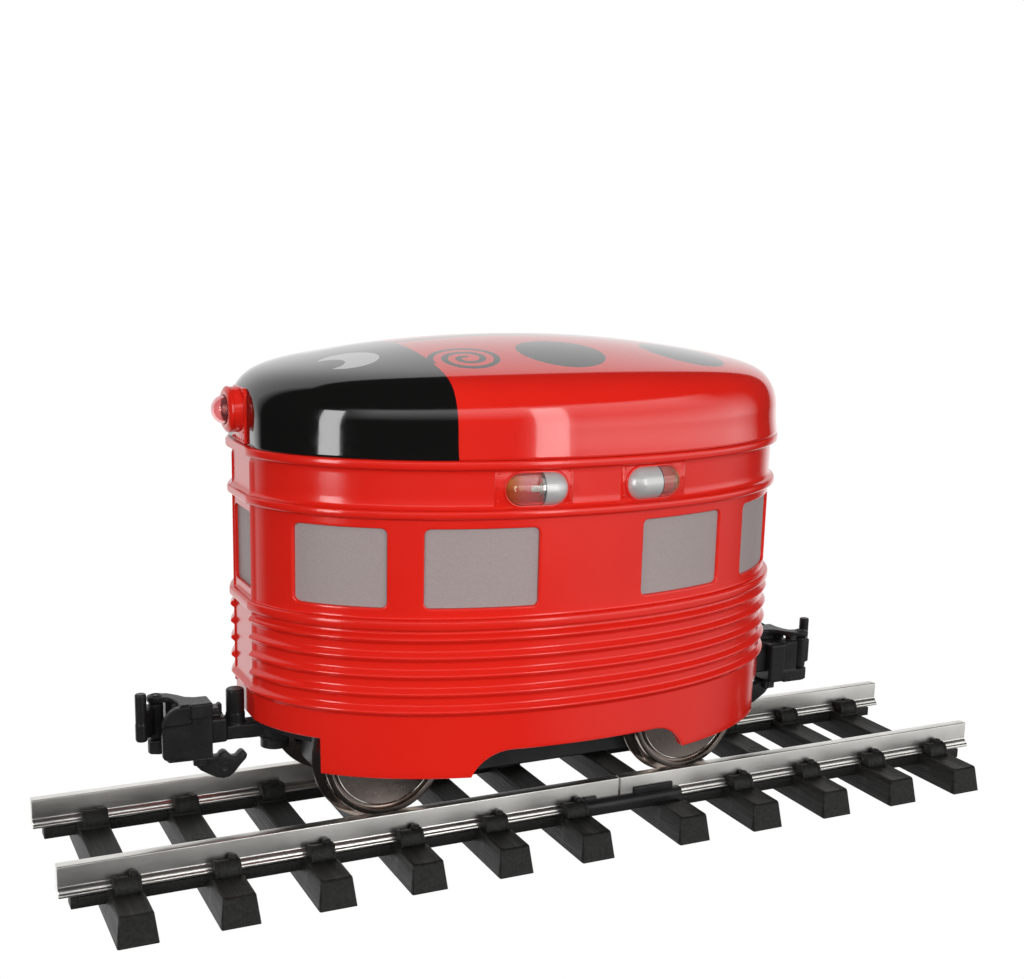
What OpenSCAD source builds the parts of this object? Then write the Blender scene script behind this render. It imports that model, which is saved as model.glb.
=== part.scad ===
// Self-propelled egg-shaped railcar standing on two joined sections of track.
// +X is the front of the car, +Y its left side, Z = 0 is the underside of the ties.

/* [Track] */
// Distance between the inner faces of the two rail heads
gauge = 45; // [44.8:0.1:45.2]
// Height of the rail top over the underside of the ties
rail_top = 15.8; // [15.6:0.1:16.2]
// Distance between neighbouring ties
tie_pitch = 26.7; // [26:0.1:28]
// Length of a tie, across the track
tie_length = 92; // [88:1:96]
// Ties in the front section
front_ties = 6; // [5:1:8]
// Ties in the rear section
rear_ties = 5; // [5:1:8]

/* [Body] */
// Car centre ahead of the middle of the track
car_x = 12.4; // [5:0.1:20]
// Half length of the full oval that the body follows
oval_a = 84.6; // [84:0.1:85]
// Half width of that oval
oval_b = 52.8; // [52:0.1:53.5]
// Roundness of the oval: 2 is an ellipse, more is squarer
oval_power = 2.12; // [2:0.01:2.3]
// Distance from the car centre to each flat end panel
end_x = 83.6; // [83:0.1:83.8]
// Thickness of the body wall
wall = 2.4; // [2:0.1:2.6]
// Height of the joint between body and roof
roof_z = 121.3; // [121:0.1:122]

/* [Running gear] */
// Radius of the wheel tread
tread_r = 18; // [17.5:0.1:18.2]
// Half of the wheelbase
axle_x = 49.9; // [49:0.1:50.5]
// Teeth on each axle gear
gear_teeth = 20; // [16:1:22]

/* [Couplers] */
// Distance from the car centre to each drawbar pivot
pivot_x = 75; // [74.5:0.1:75.5]
// Width of the coupler head
head_w = 15; // [14:0.1:16]

/* [Hidden] */
$fn = 48;

red = [0.8, 0.06, 0.04];
black = [0.06, 0.06, 0.06];
steel = [0.75, 0.75, 0.73];
silver = [0.6, 0.58, 0.57];
brass = [0.8, 0.62, 0.3];

// Track, along X
end_gap = 16.65;
joint_x = -14.5;
first_tie_x = (tie_pitch * (front_ties + rear_ties - 2) + 4 * end_gap) / 2 - end_gap;
tie_w = 10.8;
tie_top_w = 8.8;
tie_h = 7;
rail_seat_z = 7.6;
rail_y = gauge / 2 + 1.6;
rail_w = 3.2;
foot_w = 6.6;
foot_edge_z = rail_seat_z + 1.4;
foot_top_z = foot_edge_z + 0.7;
chair_w = 8.4;
track_end = first_tie_x + end_gap;
screw_hole_r = 1.25;

// Body heights
skirt_z = 33.2;
skirt_mid_z = 40.6;
skirt_end_z = 43.2;
deep_skirt_x = [34, 71];
arch_top_x = 22.5;
bead_grow = 2;
rib_grow = 1.4;
end_bead_grow = 1.6;
panel_half_w = 9.2;
beads = [[118.7, roof_z], [105.6, 108.0], [75.4, 78.3]];
rib_bottom_z = 50.9;
rib_pitch = 5.07;
rib_h = 3.4;
rib_count = 5;
window_z = [81.2, 102.8];
window_x = [[16.5, 47], [56, 76.5], [-44.8, -15.6], [-76.5, -56.2]];
window_corner = 1.6;
door_window_half_w = 8.2;

// Roof
roof_grow = 2;
roof_wall = 2.2;
roof_straight = 8;
roof_corner = 10.8;
roof_crown = 10.1;

// Bosses that take the chassis screws
boss_x = 26;
boss_y = 45.4;
boss_r = 3.6;

// Lamps
lamp_x = 17.8;
lamp_z = 113.3;
lamp_r = 4.7;
lamp_half = 8.9;
lamp_y = oval_y(lamp_x) - 0.7;
lamp_tilt = -6.4;
headlight_z = 131.3;

// Chassis
floor_z = 40.8;
floor_t = 2.5;
axle_z = rail_top + 0.2 + tread_r;
axle_r = 2;
box_half_l = 62;
box_half_w = 15.5;
box_bottom_z = 21.3;
box_top_z = 55;
box_wall = 2;
gearbox_post = [57.8, 11.3];
flange_screw = [12, 20.5];
flange_z = floor_z + floor_t;
rib_t = 3;
shaft_z = axle_z + 11;
shaft_r = 1.2;
running = 0.05;
rib_x = [18, 38];
worm_r = 3;
gear_r = 7.6;
bushing_r = 3.5;

// Wheels, as distances from the track centreline
wheel_back = 20.2;
flange_face = 21.6;
wheel_face = 25.3;
flange_r = tread_r + 2.6;

// Couplers, in the front coupler's place
shank_z = [36, 40.6];
head_x = [93.6, 107.5];
head_z = [32.6, 49.3];
ear_gap_z = [36.6, 47.6];
jaw_top_z = 45.8;
knuckle_column_r = 2.3;
knuckle_pin = [108.2, -4.6];
lever_hinge = [97.6, 31.6];

function sgn(v) = v < 0 ? -1 : 1;
function oval_y(x) = oval_b * pow(1 - pow(abs(x) / oval_a, oval_power), 1 / oval_power);
function oval(a, b, clip, count = 96) = [
    for (i = [0 : count - 1])
        let (t = 360 * (i + 0.5) / count)
        let (x = a * sgn(cos(t)) * pow(abs(cos(t)), 2 / oval_power))
        let (y = b * sgn(sin(t)) * pow(abs(sin(t)), 2 / oval_power))
        [max(-clip, min(clip, x)), y]
];

// Oval slab that stands 'grow' proud of the body outline, flat at both ends
module oval_slab(grow, z0, z1, end_grow = undef) {
    clip = end_x + (is_undef(end_grow) ? grow : end_grow);
    translate([0, 0, z0])
        linear_extrude(z1 - z0)
            polygon(oval(oval_a + grow, oval_b + grow, clip));
}

module box(x, y, z) {
    translate([x[0], y[0], z[0]])
        cube([x[1] - x[0], y[1] - y[0], z[1] - z[0]]);
}

module rod(r, z0, z1) {
    translate([0, 0, z0])
        cylinder(r = r, h = z1 - z0);
}

module at_car() {
    translate([car_x, 0, 0])
        children();
}

// The rear coupler is the front one turned half round
module at_rear() {
    translate([car_x, 0, 0])
        rotate([0, 0, 180])
            children();
}

// Rectangle with rounded corners, extruded along Y through both sides
module window_cutter(x, z, corner, half_depth) {
    translate([0, half_depth, 0])
        rotate([90, 0, 0])
            linear_extrude(2 * half_depth)
                rounded_rectangle(x, z, corner);
}

module rounded_rectangle(x, z, corner) {
    translate([x[0] + corner, z[0]])
        square([x[1] - x[0] - 2 * corner, z[1] - z[0]]);
    translate([x[0], z[0] + corner])
        square([x[1] - x[0], z[1] - z[0] - 2 * corner]);
    for (cx = [x[0] + corner, x[1] - corner], cz = [z[0] + corner, z[1] - corner])
        translate([cx, cz])
            circle(r = corner);
}

// ---- Track ----

function front_tie(i) = first_tie_x - i * tie_pitch;
function rear_tie(i) = -first_tie_x + i * tie_pitch;

module tie(with_plates) {
    rotate([90, 0, 0])
        linear_extrude(tie_length, center = true)
            polygon([[-tie_w / 2, 0], [tie_w / 2, 0], [tie_top_w / 2, tie_h], [-tie_top_w / 2, tie_h]]);
    if (with_plates)
        for (side = [-1, 1])
            translate([0, side * rail_y, 0])
                tie_plate();
}

// Raised seat under a rail and the two chairs that clip over its foot
module tie_plate() {
    free = 0.05;
    translate([-tie_top_w / 2, -foot_w / 2 - 1.6, tie_h - 0.2])
        cube([tie_top_w, foot_w + 3.2, rail_seat_z - tie_h + 0.2]);
    for (side = [-1, 1])
        scale([1, side, 1])
            rotate([90, 0, 90])
                linear_extrude(chair_w, center = true)
                    polygon([[foot_w / 2 + free, rail_seat_z], [foot_w / 2 + 1.5, rail_seat_z],
                        [foot_w / 2 + 1.3, rail_seat_z + 2.3], [foot_w / 2 + 0.1, rail_seat_z + 4.1],
                        [rail_w / 2 + free, rail_seat_z + 4.5], [rail_w / 2 + free, foot_top_z + 1 + free],
                        [foot_w / 2 - 0.9, foot_top_z + free], [foot_w / 2 + free, foot_edge_z + free]]);
}

// Ties joined by a strip under each rail; 'bare_x' is the tie that the joiners lie on
module tie_strip(positions, screw_tie, x0, x1, bare_x = undef) {
    difference() {
        union() {
            for (x = positions)
                translate([x, 0, 0])
                    tie(x != bare_x);
            for (side = [-1, 1])
                box([x0, x1], [side * rail_y - 2.4, side * rail_y + 2.4], [3.6, 6.4]);
        }
        translate([positions[screw_tie], 0, 0])
            rod(screw_hole_r, -1, tie_h + 1);
    }
}

module tie_strip_front() {
    color(black)
        tie_strip([for (i = [0 : front_ties - 1]) front_tie(i)], 1,
            front_tie(front_ties - 1) - 4, track_end - 3);
}

module tie_strip_rear() {
    color(black)
        tie_strip([for (i = [0 : rear_ties - 1]) rear_tie(i)], 2,
            -track_end + 3, rear_tie(rear_ties - 1) + 4, rear_tie(rear_ties - 1));
}

// Cross-section of a rail, straight-sided with a flared foot, 'grow' wider all round
module rail_section(grow) {
    half_foot = foot_w / 2 + grow;
    half_head = rail_w / 2 + grow;
    polygon([[-half_foot, rail_seat_z], [half_foot, rail_seat_z], [half_foot, foot_edge_z + grow],
        [half_foot - 0.9, foot_top_z + grow], [half_head, foot_top_z + 1 + grow],
        [half_head, rail_top - 0.4], [half_head - 0.4, rail_top],
        [-half_head + 0.4, rail_top], [-half_head, rail_top - 0.4],
        [-half_head, foot_top_z + 1 + grow], [-half_foot + 0.9, foot_top_z + grow],
        [-half_foot, foot_edge_z + grow]]);
}

module rail(side, x0, x1) {
    color(steel)
        translate([x0, side * rail_y, 0])
            rotate([90, 0, 90])
                linear_extrude(x1 - x0)
                    rail_section(0);
}

module rail_left_front() rail(1, joint_x + 0.3, track_end);
module rail_right_front() rail(-1, joint_x + 0.3, track_end);
module rail_left_rear() rail(1, -track_end, joint_x - 0.3);
module rail_right_rear() rail(-1, -track_end, joint_x - 0.3);

// Channel that grips both rail feet, with a tab along the rear rail's outer side
module rail_joiners() {
    x = [-36.2, -1.4];
    tab_x = [-33.3, -14.8];
    lip = 0.9;
    top_z = rail_seat_z + 2.6;
    color(black)
        for (side = [-1, 1])
            translate([0, side * rail_y, 0])
                scale([1, side, 1]) {
                    difference() {
                        union() {
                            box(x, [-foot_w / 2 - lip, foot_w / 2 + lip], [tie_h, top_z]);
                            box(tab_x, [rail_w / 2 + 0.05, rail_w / 2 + 0.9], [top_z - 0.5, top_z + 4.2]);
                        }
                        translate([x[0] - 1, 0, 0])
                            rotate([90, 0, 90])
                                linear_extrude(x[1] - x[0] + 2)
                                    rail_section(0.04);
                    }
                }
}

// ---- Body ----

// Outline of everything below the skirt's lower edge, seen from the side
module skirt_cutter() {
    arch_w = deep_skirt_x[0] - arch_top_x;
    arch_h = skirt_mid_z - skirt_z;
    arch_r = (arch_w * arch_w + arch_h * arch_h) / (2 * arch_h);
    rotate([90, 0, 0])
        linear_extrude(4 * oval_b, center = true) {
            translate([-arch_top_x, skirt_z - 1])
                square([2 * arch_top_x, arch_h + 1]);
            for (side = [-1, 1])
                scale([side, 1])
                    intersection() {
                        translate([arch_top_x, skirt_mid_z - arch_r])
                            circle(r = arch_r, $fn = 96);
                        translate([arch_top_x - 1, skirt_z - 1])
                            square([arch_w + 6, arch_h + 1]);
                    }
            for (side = [-1, 1])
                scale([side, 1])
                    translate([deep_skirt_x[1], skirt_z - 1])
                        square([oval_a, skirt_end_z - skirt_z + 1]);
        }
}

// Capsule along the body's surface at each class lamp; 'depth' runs along the capsule from its middle
module at_lamps() {
    for (side_x = [-1, 1], side_y = [-1, 1])
        scale([side_x, side_y, 1])
            translate([lamp_x, lamp_y, lamp_z])
                rotate([0, 0, lamp_tilt])
                    rotate([0, 90, 0])
                        children();
}

module capsule(r, half_length) {
    straight = half_length - lamp_r;
    rotate_extrude() {
        translate([0, -straight])
            square([r, 2 * straight]);
        for (end = [-1, 1])
            intersection() {
                translate([0, end * straight])
                    circle(r = r);
                square([r, 4 * half_length], center = false);
            }
        intersection() {
            translate([0, -straight])
                circle(r = r);
            translate([0, -2 * half_length])
                square([r, 2 * half_length]);
        }
    }
}

// Plain round-ended opening for a lamp: a cylinder bore with a ball at each end
module lamp_hole() {
    straight = lamp_half - lamp_r;
    rod(lamp_r + running, -straight, straight);
    for (end = [-1, 1])
        translate([0, 0, end * straight])
            sphere(r = lamp_r + running);
}

module body_shell() {
    color(red)
        difference() {
            union() {
                difference() {
                    union() {
                        oval_slab(0, skirt_z, roof_z);
                        for (bead = beads)
                            oval_slab(bead_grow, bead[0], bead[1], end_bead_grow);
                        oval_slab(rib_grow, rib_bottom_z, rib_bottom_z + rib_h, end_bead_grow);
                        difference() {
                            for (i = [1 : rib_count - 1])
                                let (z = rib_bottom_z + i * rib_pitch)
                                    oval_slab(rib_grow, z, z + rib_h);
                            for (end = [-1, 1])
                                translate([end * (end_x + 10), 0, rib_bottom_z + 20])
                                    cube([20, 2 * panel_half_w, 2 * 22], center = true);
                        }
                    }
                    oval_slab(-wall, skirt_z - 1, roof_z + 1);
                }
                // Bosses that take the chassis screws
                for (x = [-boss_x, boss_x], y = [-boss_y, boss_y])
                    intersection() {
                        translate([x, y, 0])
                            rod(boss_r, floor_z + floor_t, 54);
                        oval_slab(-0.5, skirt_z, roof_z);
                    }
            }
            skirt_cutter();
            for (x = window_x)
                window_cutter(x, window_z, window_corner, 2 * oval_b);
            rotate([0, 0, 90])
                window_cutter([-door_window_half_w, door_window_half_w], window_z, window_corner, 2 * oval_a);
            at_lamps()
                lamp_hole();
            for (x = [-boss_x, boss_x], y = [-boss_y, boss_y])
                translate([x, y, 0])
                    rod(1.1, floor_z, 51);
        }
}

// Height of the roof's outside over its base, at the fraction r of its outline
function roof_rise(r) = roof_straight + roof_corner * pow(max(0, 1 - pow(r, 20)), 1 / 1.8)
    + roof_crown * (1 - r * r);
function roof_ring(r, a, b, z) = [for (p = oval(a * r, b * r, end_x, 72)) [p[0], p[1], z]];

// One closed skin: outer rings up to the crown, inner rings down to the rim
module roof() {
    steps = 14;
    a = oval_a + roof_grow;
    b = oval_b + roof_grow;
    draft = 0.9;
    outer = [for (k = [0 : steps - 1]) let (r = pow(cos(90 * k / steps), 0.4))
        roof_ring(r, a - draft, b - draft, roof_z + roof_rise(r))];
    inner = [for (k = [0 : steps - 1]) let (r = pow(cos(90 * k / steps), 0.4))
        [for (p = oval((a - draft - roof_wall) * r, (b - draft - roof_wall) * r, end_x - roof_wall, 72))
            [p[0], p[1], roof_z + roof_rise(r) - roof_wall]]];
    rim_out = roof_ring(1, a, b, roof_z);
    rim_in = [for (p = oval(a - roof_wall, b - roof_wall, end_x - roof_wall, 72)) [p[0], p[1], roof_z]];
    n = 72;
    outer_rings = concat([rim_out], outer);
    inner_rings = concat([rim_in], inner);
    m = len(outer_rings);
    points = concat([for (ring = outer_rings) each ring], [[0, 0, roof_z + roof_rise(0)]],
        [for (ring = inner_rings) each ring], [[0, 0, roof_z + roof_rise(0) - roof_wall]]);
    top = m * n;
    base = m * n + 1;
    faces = concat(
        [for (k = [0 : m - 2], i = [0 : n - 1]) let (j = (i + 1) % n)
            [k * n + i, (k + 1) * n + i, (k + 1) * n + j]],
        [for (k = [0 : m - 2], i = [0 : n - 1]) let (j = (i + 1) % n)
            [k * n + i, (k + 1) * n + j, k * n + j]],
        [for (i = [0 : n - 1]) [(m - 1) * n + i, top, (m - 1) * n + (i + 1) % n]],
        [for (k = [0 : m - 2], i = [0 : n - 1]) let (j = (i + 1) % n)
            [base + k * n + i, base + (k + 1) * n + j, base + (k + 1) * n + i]],
        [for (k = [0 : m - 2], i = [0 : n - 1]) let (j = (i + 1) % n)
            [base + k * n + i, base + k * n + j, base + (k + 1) * n + j]],
        [for (i = [0 : n - 1]) [base + (m - 1) * n + i, base + (m - 1) * n + (i + 1) % n, base + m * n]],
        [for (i = [0 : n - 1]) [i, (i + 1) % n, base + (i + 1) % n]],
        [for (i = [0 : n - 1]) [i, base + (i + 1) % n, base + i]]);
    color(black)
        polyhedron(points, faces);
}

// Band just inside the body wall, one pane thick
module pane_band() {
    pane_t = 1;
    margin = 2;
    difference() {
        oval_slab(-wall, window_z[0] - margin, window_z[1] + margin);
        oval_slab(-wall - pane_t, window_z[0] - 2 * margin, window_z[1] + 2 * margin);
    }
}

module side_windows(side) {
    margin = 2;
    color(silver)
        intersection() {
            pane_band();
            for (x = window_x)
                scale([1, side, 1])
                    box([x[0] - margin, x[1] + margin], [10, 2 * oval_b], [0, roof_z]);
        }
}

module door_window(end) {
    half_w = door_window_half_w + 0.8;
    color(silver)
        intersection() {
            pane_band();
            scale([end, 1, 1])
                box([end_x - 6, end_x], [-half_w, half_w], [0, roof_z]);
        }
}

module side_windows_left() side_windows(1);
module side_windows_right() side_windows(-1);
module front_door_window() door_window(1);
module rear_door_window() door_window(-1);

// Raised frame round each lamp
module lamp_bezels() {
    half_w = 11;
    color(red)
        difference() {
            oval_slab(0.5, beads[1][1] + 0.1, beads[0][0] - 0.1);
            oval_slab(0, 0, 2 * roof_z);
            at_lamps()
                lamp_hole();
            box([-lamp_x + half_w, lamp_x - half_w], [-2 * oval_b, 2 * oval_b], [0, 2 * roof_z]);
            for (side = [-1, 1])
                scale([side, 1, 1])
                    box([lamp_x + half_w, 2 * oval_a], [-2 * oval_b, 2 * oval_b], [0, 2 * roof_z]);
        }
}

// Silver half of each lamp: solid, with a round back end
module lamp_housings() {
    straight = lamp_half - lamp_r;
    color(steel)
        at_lamps()
            difference() {
                union() {
                    rod(lamp_r, -straight, 0);
                    translate([0, 0, -straight])
                        sphere(r = lamp_r);
                }
                rod(lamp_r, 0, 1);
            }
}

module lamp_lenses() {
    straight = lamp_half - lamp_r;
    lens_wall = 0.7;
    color([0.9, 0.85, 0.5, 0.6])
        at_lamps()
            difference() {
                union() {
                    rod(lamp_r, 0, straight);
                    translate([0, 0, straight])
                        sphere(r = lamp_r);
                }
                rod(lamp_r - lens_wall, -lamp_half, straight);
                translate([0, 0, straight])
                    sphere(r = lamp_r - lens_wall);
            }
}

module lamp_leds() {
    color([0.95, 0.9, 0.7])
        at_lamps()
            union() {
                rod(1.5, 0, 3);
                translate([0, 0, 3])
                    sphere(r = 1.5);
            }
}

module at_headlight() {
    translate([end_x, 0, headlight_z])
        rotate([0, 90, 0])
            children();
}

module headlight_housing() {
    barrel_r = 5.9;
    color(red)
        difference() {
            union() {
                box([end_x - 2.2, end_x + 1], [-7, 7], [roof_z + 0.1, 138]);
                at_headlight()
                    rod(barrel_r, 0.9, 4.4);
            }
            at_headlight()
                rod(4.4, 0.1, 5);
        }
}

module headlight_lens() {
    color([0.95, 0.8, 0.8, 0.6])
        at_headlight()
            difference() {
                union() {
                    rod(4.2, 1, 4);
                    translate([0, 0, 4])
                        sphere(r = 4.2);
                }
                rod(3.4, -1, 4);
                translate([0, 0, 4])
                    sphere(r = 3.4);
            }
}

module headlight_led() {
    color([0.95, 0.95, 0.9])
        at_headlight()
            union() {
                rod(1.5, 0.1, 3.4);
                translate([0, 0, 3.4])
                    sphere(r = 1.5);
            }
}

// ---- Chassis ----

module chassis() {
    slot_x = [axle_x - flange_r - 1.4, axle_x + flange_r + 1.4];
    slot_y = [box_half_w + 3, 27.4];
    color(black)
        difference() {
            union() {
                intersection() {
                    oval_slab(-wall - 0.3, floor_z, floor_z + floor_t);
                    box([-end_x + 1, end_x - 1], [-oval_b, oval_b], [0, roof_z]);
                }
                for (end = [-1, 1])
                    translate([end * pivot_x, 0, 0])
                        rod(5, floor_z, 48);
                // Bosses for the gearbox's flange screws
                flange_holes(2.6, floor_z - 3, floor_z + 1);
            }
            box([-box_half_l - 0.2, box_half_l + 0.2], [-box_half_w - 0.2, box_half_w + 0.2], [0, roof_z]);
            for (x = [-1, 1], y = [-1, 1])
                scale([x, y, 1])
                    box(slot_x, slot_y, [0, roof_z]);
            for (end = [-1, 1])
                translate([end * pivot_x, 0, 0])
                    rod(1.5, 0, 46);
            for (x = [-boss_x, boss_x], y = [-boss_y, boss_y])
                translate([x, y, 0])
                    rod(1.4, 0, roof_z);
            flange_holes(1, 0, roof_z);
        }
}

module shell_screws() {
    color(steel)
        for (x = [-boss_x, boss_x], y = [-boss_y, boss_y])
            translate([x, y, 0]) {
                rod(2.2, floor_z - 1.6, floor_z);
                rod(1.1, floor_z - 0.1, 50);
            }
}

// Corner posts that the gearbox's own screws run through
module gearbox_posts(r, z0, z1) {
    for (x = [-1, 1], y = [-1, 1])
        translate([x * gearbox_post[0], y * gearbox_post[1], 0])
            rod(r, z0, z1);
}

module flange_holes(r, z0, z1) {
    for (x = [-1, 1], y = [-1, 1])
        translate([x * flange_screw[0], y * flange_screw[1], 0])
            rod(r, z0, z1);
}

module axle_bores() {
    for (x = [-axle_x, axle_x])
        translate([x, 0, axle_z])
            rotate([90, 0, 0])
                rod(bushing_r, -20, 20);
}

module gearbox_cavity(z0, z1) {
    half_l = box_half_l - box_wall;
    half_w = box_half_w - box_wall;
    box([-half_l, half_l], [-half_w, half_w], [z0, z1]);
}

module gearbox_upper() {
    inner_top = box_top_z - box_wall;
    color(black)
        difference() {
            union() {
                difference() {
                    box([-box_half_l, box_half_l], [-box_half_w, box_half_w], [axle_z, box_top_z]);
                    gearbox_cavity(axle_z - 1, inner_top);
                }
                for (x = rib_x, side = [-1, 1])
                    scale([side, 1, 1])
                        box([x, x + rib_t], [-box_half_w + 1, box_half_w - 1], [axle_z + 3, inner_top + 1]);
                gearbox_posts(2.4, axle_z, inner_top + 1);
                for (y = [-1, 1])
                    scale([1, y, 1])
                        box([-15, 15], [box_half_w - 0.5, flange_screw[1] + 3], [flange_z, flange_z + 2]);
            }
            axle_bores();
            translate([0, 0, shaft_z])
                rotate([0, 90, 0])
                    rod(2.6, -rib_x[1] - 2 * rib_t, rib_x[1] + 2 * rib_t);
            flange_holes(1.2, 0, box_top_z);
            for (y = [-4, 4])
                translate([-12, y, 0])
                    rod(1, 50, 60);
            gearbox_posts(0.9, 0, inner_top);
        }
}

module gearbox_lower() {
    color(black)
        difference() {
            union() {
                difference() {
                    box([-box_half_l, box_half_l], [-box_half_w, box_half_w], [box_bottom_z, axle_z]);
                    gearbox_cavity(box_bottom_z + box_wall, axle_z + 1);
                }
                gearbox_posts(2.4, box_bottom_z + 1, axle_z);
            }
            axle_bores();
            gearbox_posts(1.05, 0, axle_z + 1);
        }
}

// Four flange screws and the four long ones that close the gearbox
module gearbox_screws() {
    color(steel) {
        flange_holes(2, flange_z + 2, flange_z + 3.4);
        flange_holes(1, floor_z - 2.5, flange_z + 2.1);
        gearbox_posts(1.9, box_bottom_z - 1.3, box_bottom_z);
        gearbox_posts(0.9, box_bottom_z - 0.1, box_top_z - box_wall);
    }
}

module motor() {
    can_r = 8;
    color(silver)
        translate([0, 0, shaft_z])
            rotate([0, 90, 0])
                difference() {
                    union() {
                        rod(can_r, -14, 14);
                        rod(3, -15.5, 15.5);
                        for (y = [-4, 4])
                            translate([-5, y, 0])
                                cylinder(r = 0.8, h = 15, center = false);
                    }
                    rod(shaft_r + running, -20, 20);
                }
}

module shaft_bearings() {
    color(brass)
        for (x = rib_x, side = [-1, 1])
            scale([side, 1, 1])
                translate([x, 0, shaft_z])
                    rotate([0, 90, 0])
                        difference() {
                            rod(2.6, 0, 3);
                            rod(shaft_r + running, -1, 4);
                        }
}

module axle_bushings() {
    color(brass)
        for (x = [-axle_x, axle_x], side = [-1, 1])
            scale([1, side, 1])
                translate([x, 0, axle_z])
                    rotate([-90, 0, 0])
                        difference() {
                            union() {
                                rod(bushing_r, box_half_w - box_wall, box_half_w);
                                rod(4.4, box_half_w, box_half_w + 1.2);
                            }
                            rod(axle_r + running, 0, 30);
                        }
}

// Springy strips that rub on the backs of the wheels
module wheel_wipers() {
    strip_t = 0.3;
    color(brass)
        for (x = [-1, 1], y = [-1, 1])
            scale([x, y, 1])
                wiper(strip_t);
}

module wiper(strip_t) {
    x0 = axle_x - 24;
    x1 = axle_x - 9;
    reach = wheel_back - 0.3;
    translate([0, 0, 28])
        linear_extrude(4)
            polygon([[x0, box_half_w], [x0 + 6, box_half_w],
                [x1, reach - strip_t], [x1 + 2, reach - strip_t],
                [x1 + 2, reach], [x1 - 0.2, reach],
                [x0 + 5.8, box_half_w + strip_t], [x0, box_half_w + strip_t]]);
}

module circuit_board() {
    board_z = 64;
    color([0.1, 0.35, 0.15])
        union() {
            box([-24, 24], [-14, 14], [board_z, board_z + 1.6]);
            for (x = [-20, 20], y = [-11, 11])
                translate([x, y, 0])
                    rod(1.6, box_top_z, board_z);
            box([-18, -6], [-8, 8], [board_z + 1.6, board_z + 5.6]);
            box([4, 14], [-6, 6], [board_z + 1.6, board_z + 4]);
        }
}

module ballast_weights() {
    color([0.35, 0.35, 0.37])
        for (side = [-1, 1])
            scale([side, 1, 1])
                box([28, 60], [-14, 14], [box_top_z, box_top_z + 16]);
}

// Straight run of insulated wire between two points
module wire(p, q) {
    d = q - p;
    translate(p)
        rotate([0, acos(d[2] / norm(d)), atan2(d[1], d[0])])
            cylinder(r = 0.6, h = norm(d));
}

// One lead up and forward to the headlight, and one out to each class lamp
module lighting_leads() {
    board_top = 65.6;
    color([0.7, 0.1, 0.1]) {
        union() {
            wire([20, 0, board_top], [20, 0, headlight_z]);
            translate([20, 0, headlight_z])
                sphere(r = 1);
            wire([20, 0, headlight_z], [end_x + 0.05, 0, headlight_z]);
        }
        for (x = [-1, 1], y = [-1, 1])
            wire([x * 17, y * 12, board_top], [x * 16.5, y * (lamp_y - 4.6), lamp_z - 1]);
    }
}

module motor_leads() {
    color([0.1, 0.1, 0.7])
        for (y = [-4, 4])
            wire([-12, y, 51.6], [-12, y, 64]);
}

// ---- Motor shaft, turning about X ----

module along_shaft() {
    translate([0, 0, shaft_z])
        rotate([0, 90, 0])
            children();
}

module motor_shaft() {
    color(steel)
        along_shaft()
            rod(shaft_r, -57.5, 57.5);
}

module on_shaft(r, x0, x1) {
    along_shaft()
        for (side = [0, 180])
            rotate([side, 0, 0])
                difference() {
                    rod(r, x0, x1);
                    rod(shaft_r, x0 - 1, x1 + 1);
                }
}

module worms() {
    pitch = 1.6;
    color(brass)
        along_shaft()
            for (side = [0, 180])
                rotate([side, 0, 0])
                    difference() {
                        union() {
                            rod(2.3, axle_x - 6.5, axle_x + 6.5);
                            for (i = [-3 : 3])
                                rod(worm_r, axle_x + i * pitch - 0.4, axle_x + i * pitch + 0.4);
                        }
                        rod(shaft_r, 0, 60);
                    }
}

module flywheels() {
    color(brass)
        on_shaft(6.5, 24, 34);
}

// ---- Wheelsets, turning about Y ----

module at_axle(end) {
    translate([end * axle_x, 0, axle_z])
        rotate([-90, 0, 0])
            children();
}

module axle(end) {
    color(steel)
        at_axle(end)
            rod(axle_r, -wheel_face + 0.6, wheel_face - 0.6);
}

// Wheel profile, radius against distance from the track centreline
module wheel_pair(end) {
    color(silver)
        at_axle(end)
            for (side = [-1, 1])
                scale([1, 1, side])
                    rotate_extrude($fn = 96)
                        polygon([[axle_r, wheel_back - 1.6], [5, wheel_back - 1.6], [5, wheel_back],
                            [flange_r - 0.5, wheel_back], [flange_r, wheel_back + 0.6],
                            [flange_r - 0.3, flange_face - 0.5], [tread_r + 0.15, flange_face],
                            [tread_r, wheel_face], [tread_r - 2.4, wheel_face],
                            [tread_r - 2.6, wheel_face - 0.8],
                            [tread_r - 3.2, wheel_face - 0.8], [tread_r - 3.4, wheel_face - 0.1],
                            [tread_r - 4.4, wheel_face - 0.1], [9, wheel_face - 2.2], [5, wheel_face - 2.4],
                            [4.4, wheel_face - 0.2], [axle_r, wheel_face - 0.2]]);
}

module axle_gear(end) {
    tooth_h = 1.6;
    color(brass)
        at_axle(end)
            difference() {
                union() {
                    rod(gear_r - tooth_h, -3.5, 3.5);
                    for (i = [0 : gear_teeth - 1])
                        rotate([0, 0, 360 * i / gear_teeth])
                            translate([gear_r - tooth_h - 0.4, -0.55, -3.5])
                                cube([tooth_h + 0.4 - 0.03, 1.1, 7]);
                }
                rod(axle_r, -10, 10);
            }
}

module front_axle() axle(1);
module rear_axle() axle(-1);
module front_wheels() wheel_pair(1);
module rear_wheels() wheel_pair(-1);
module front_axle_gear() axle_gear(1);
module rear_axle_gear() axle_gear(-1);

// ---- Couplers ----

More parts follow.
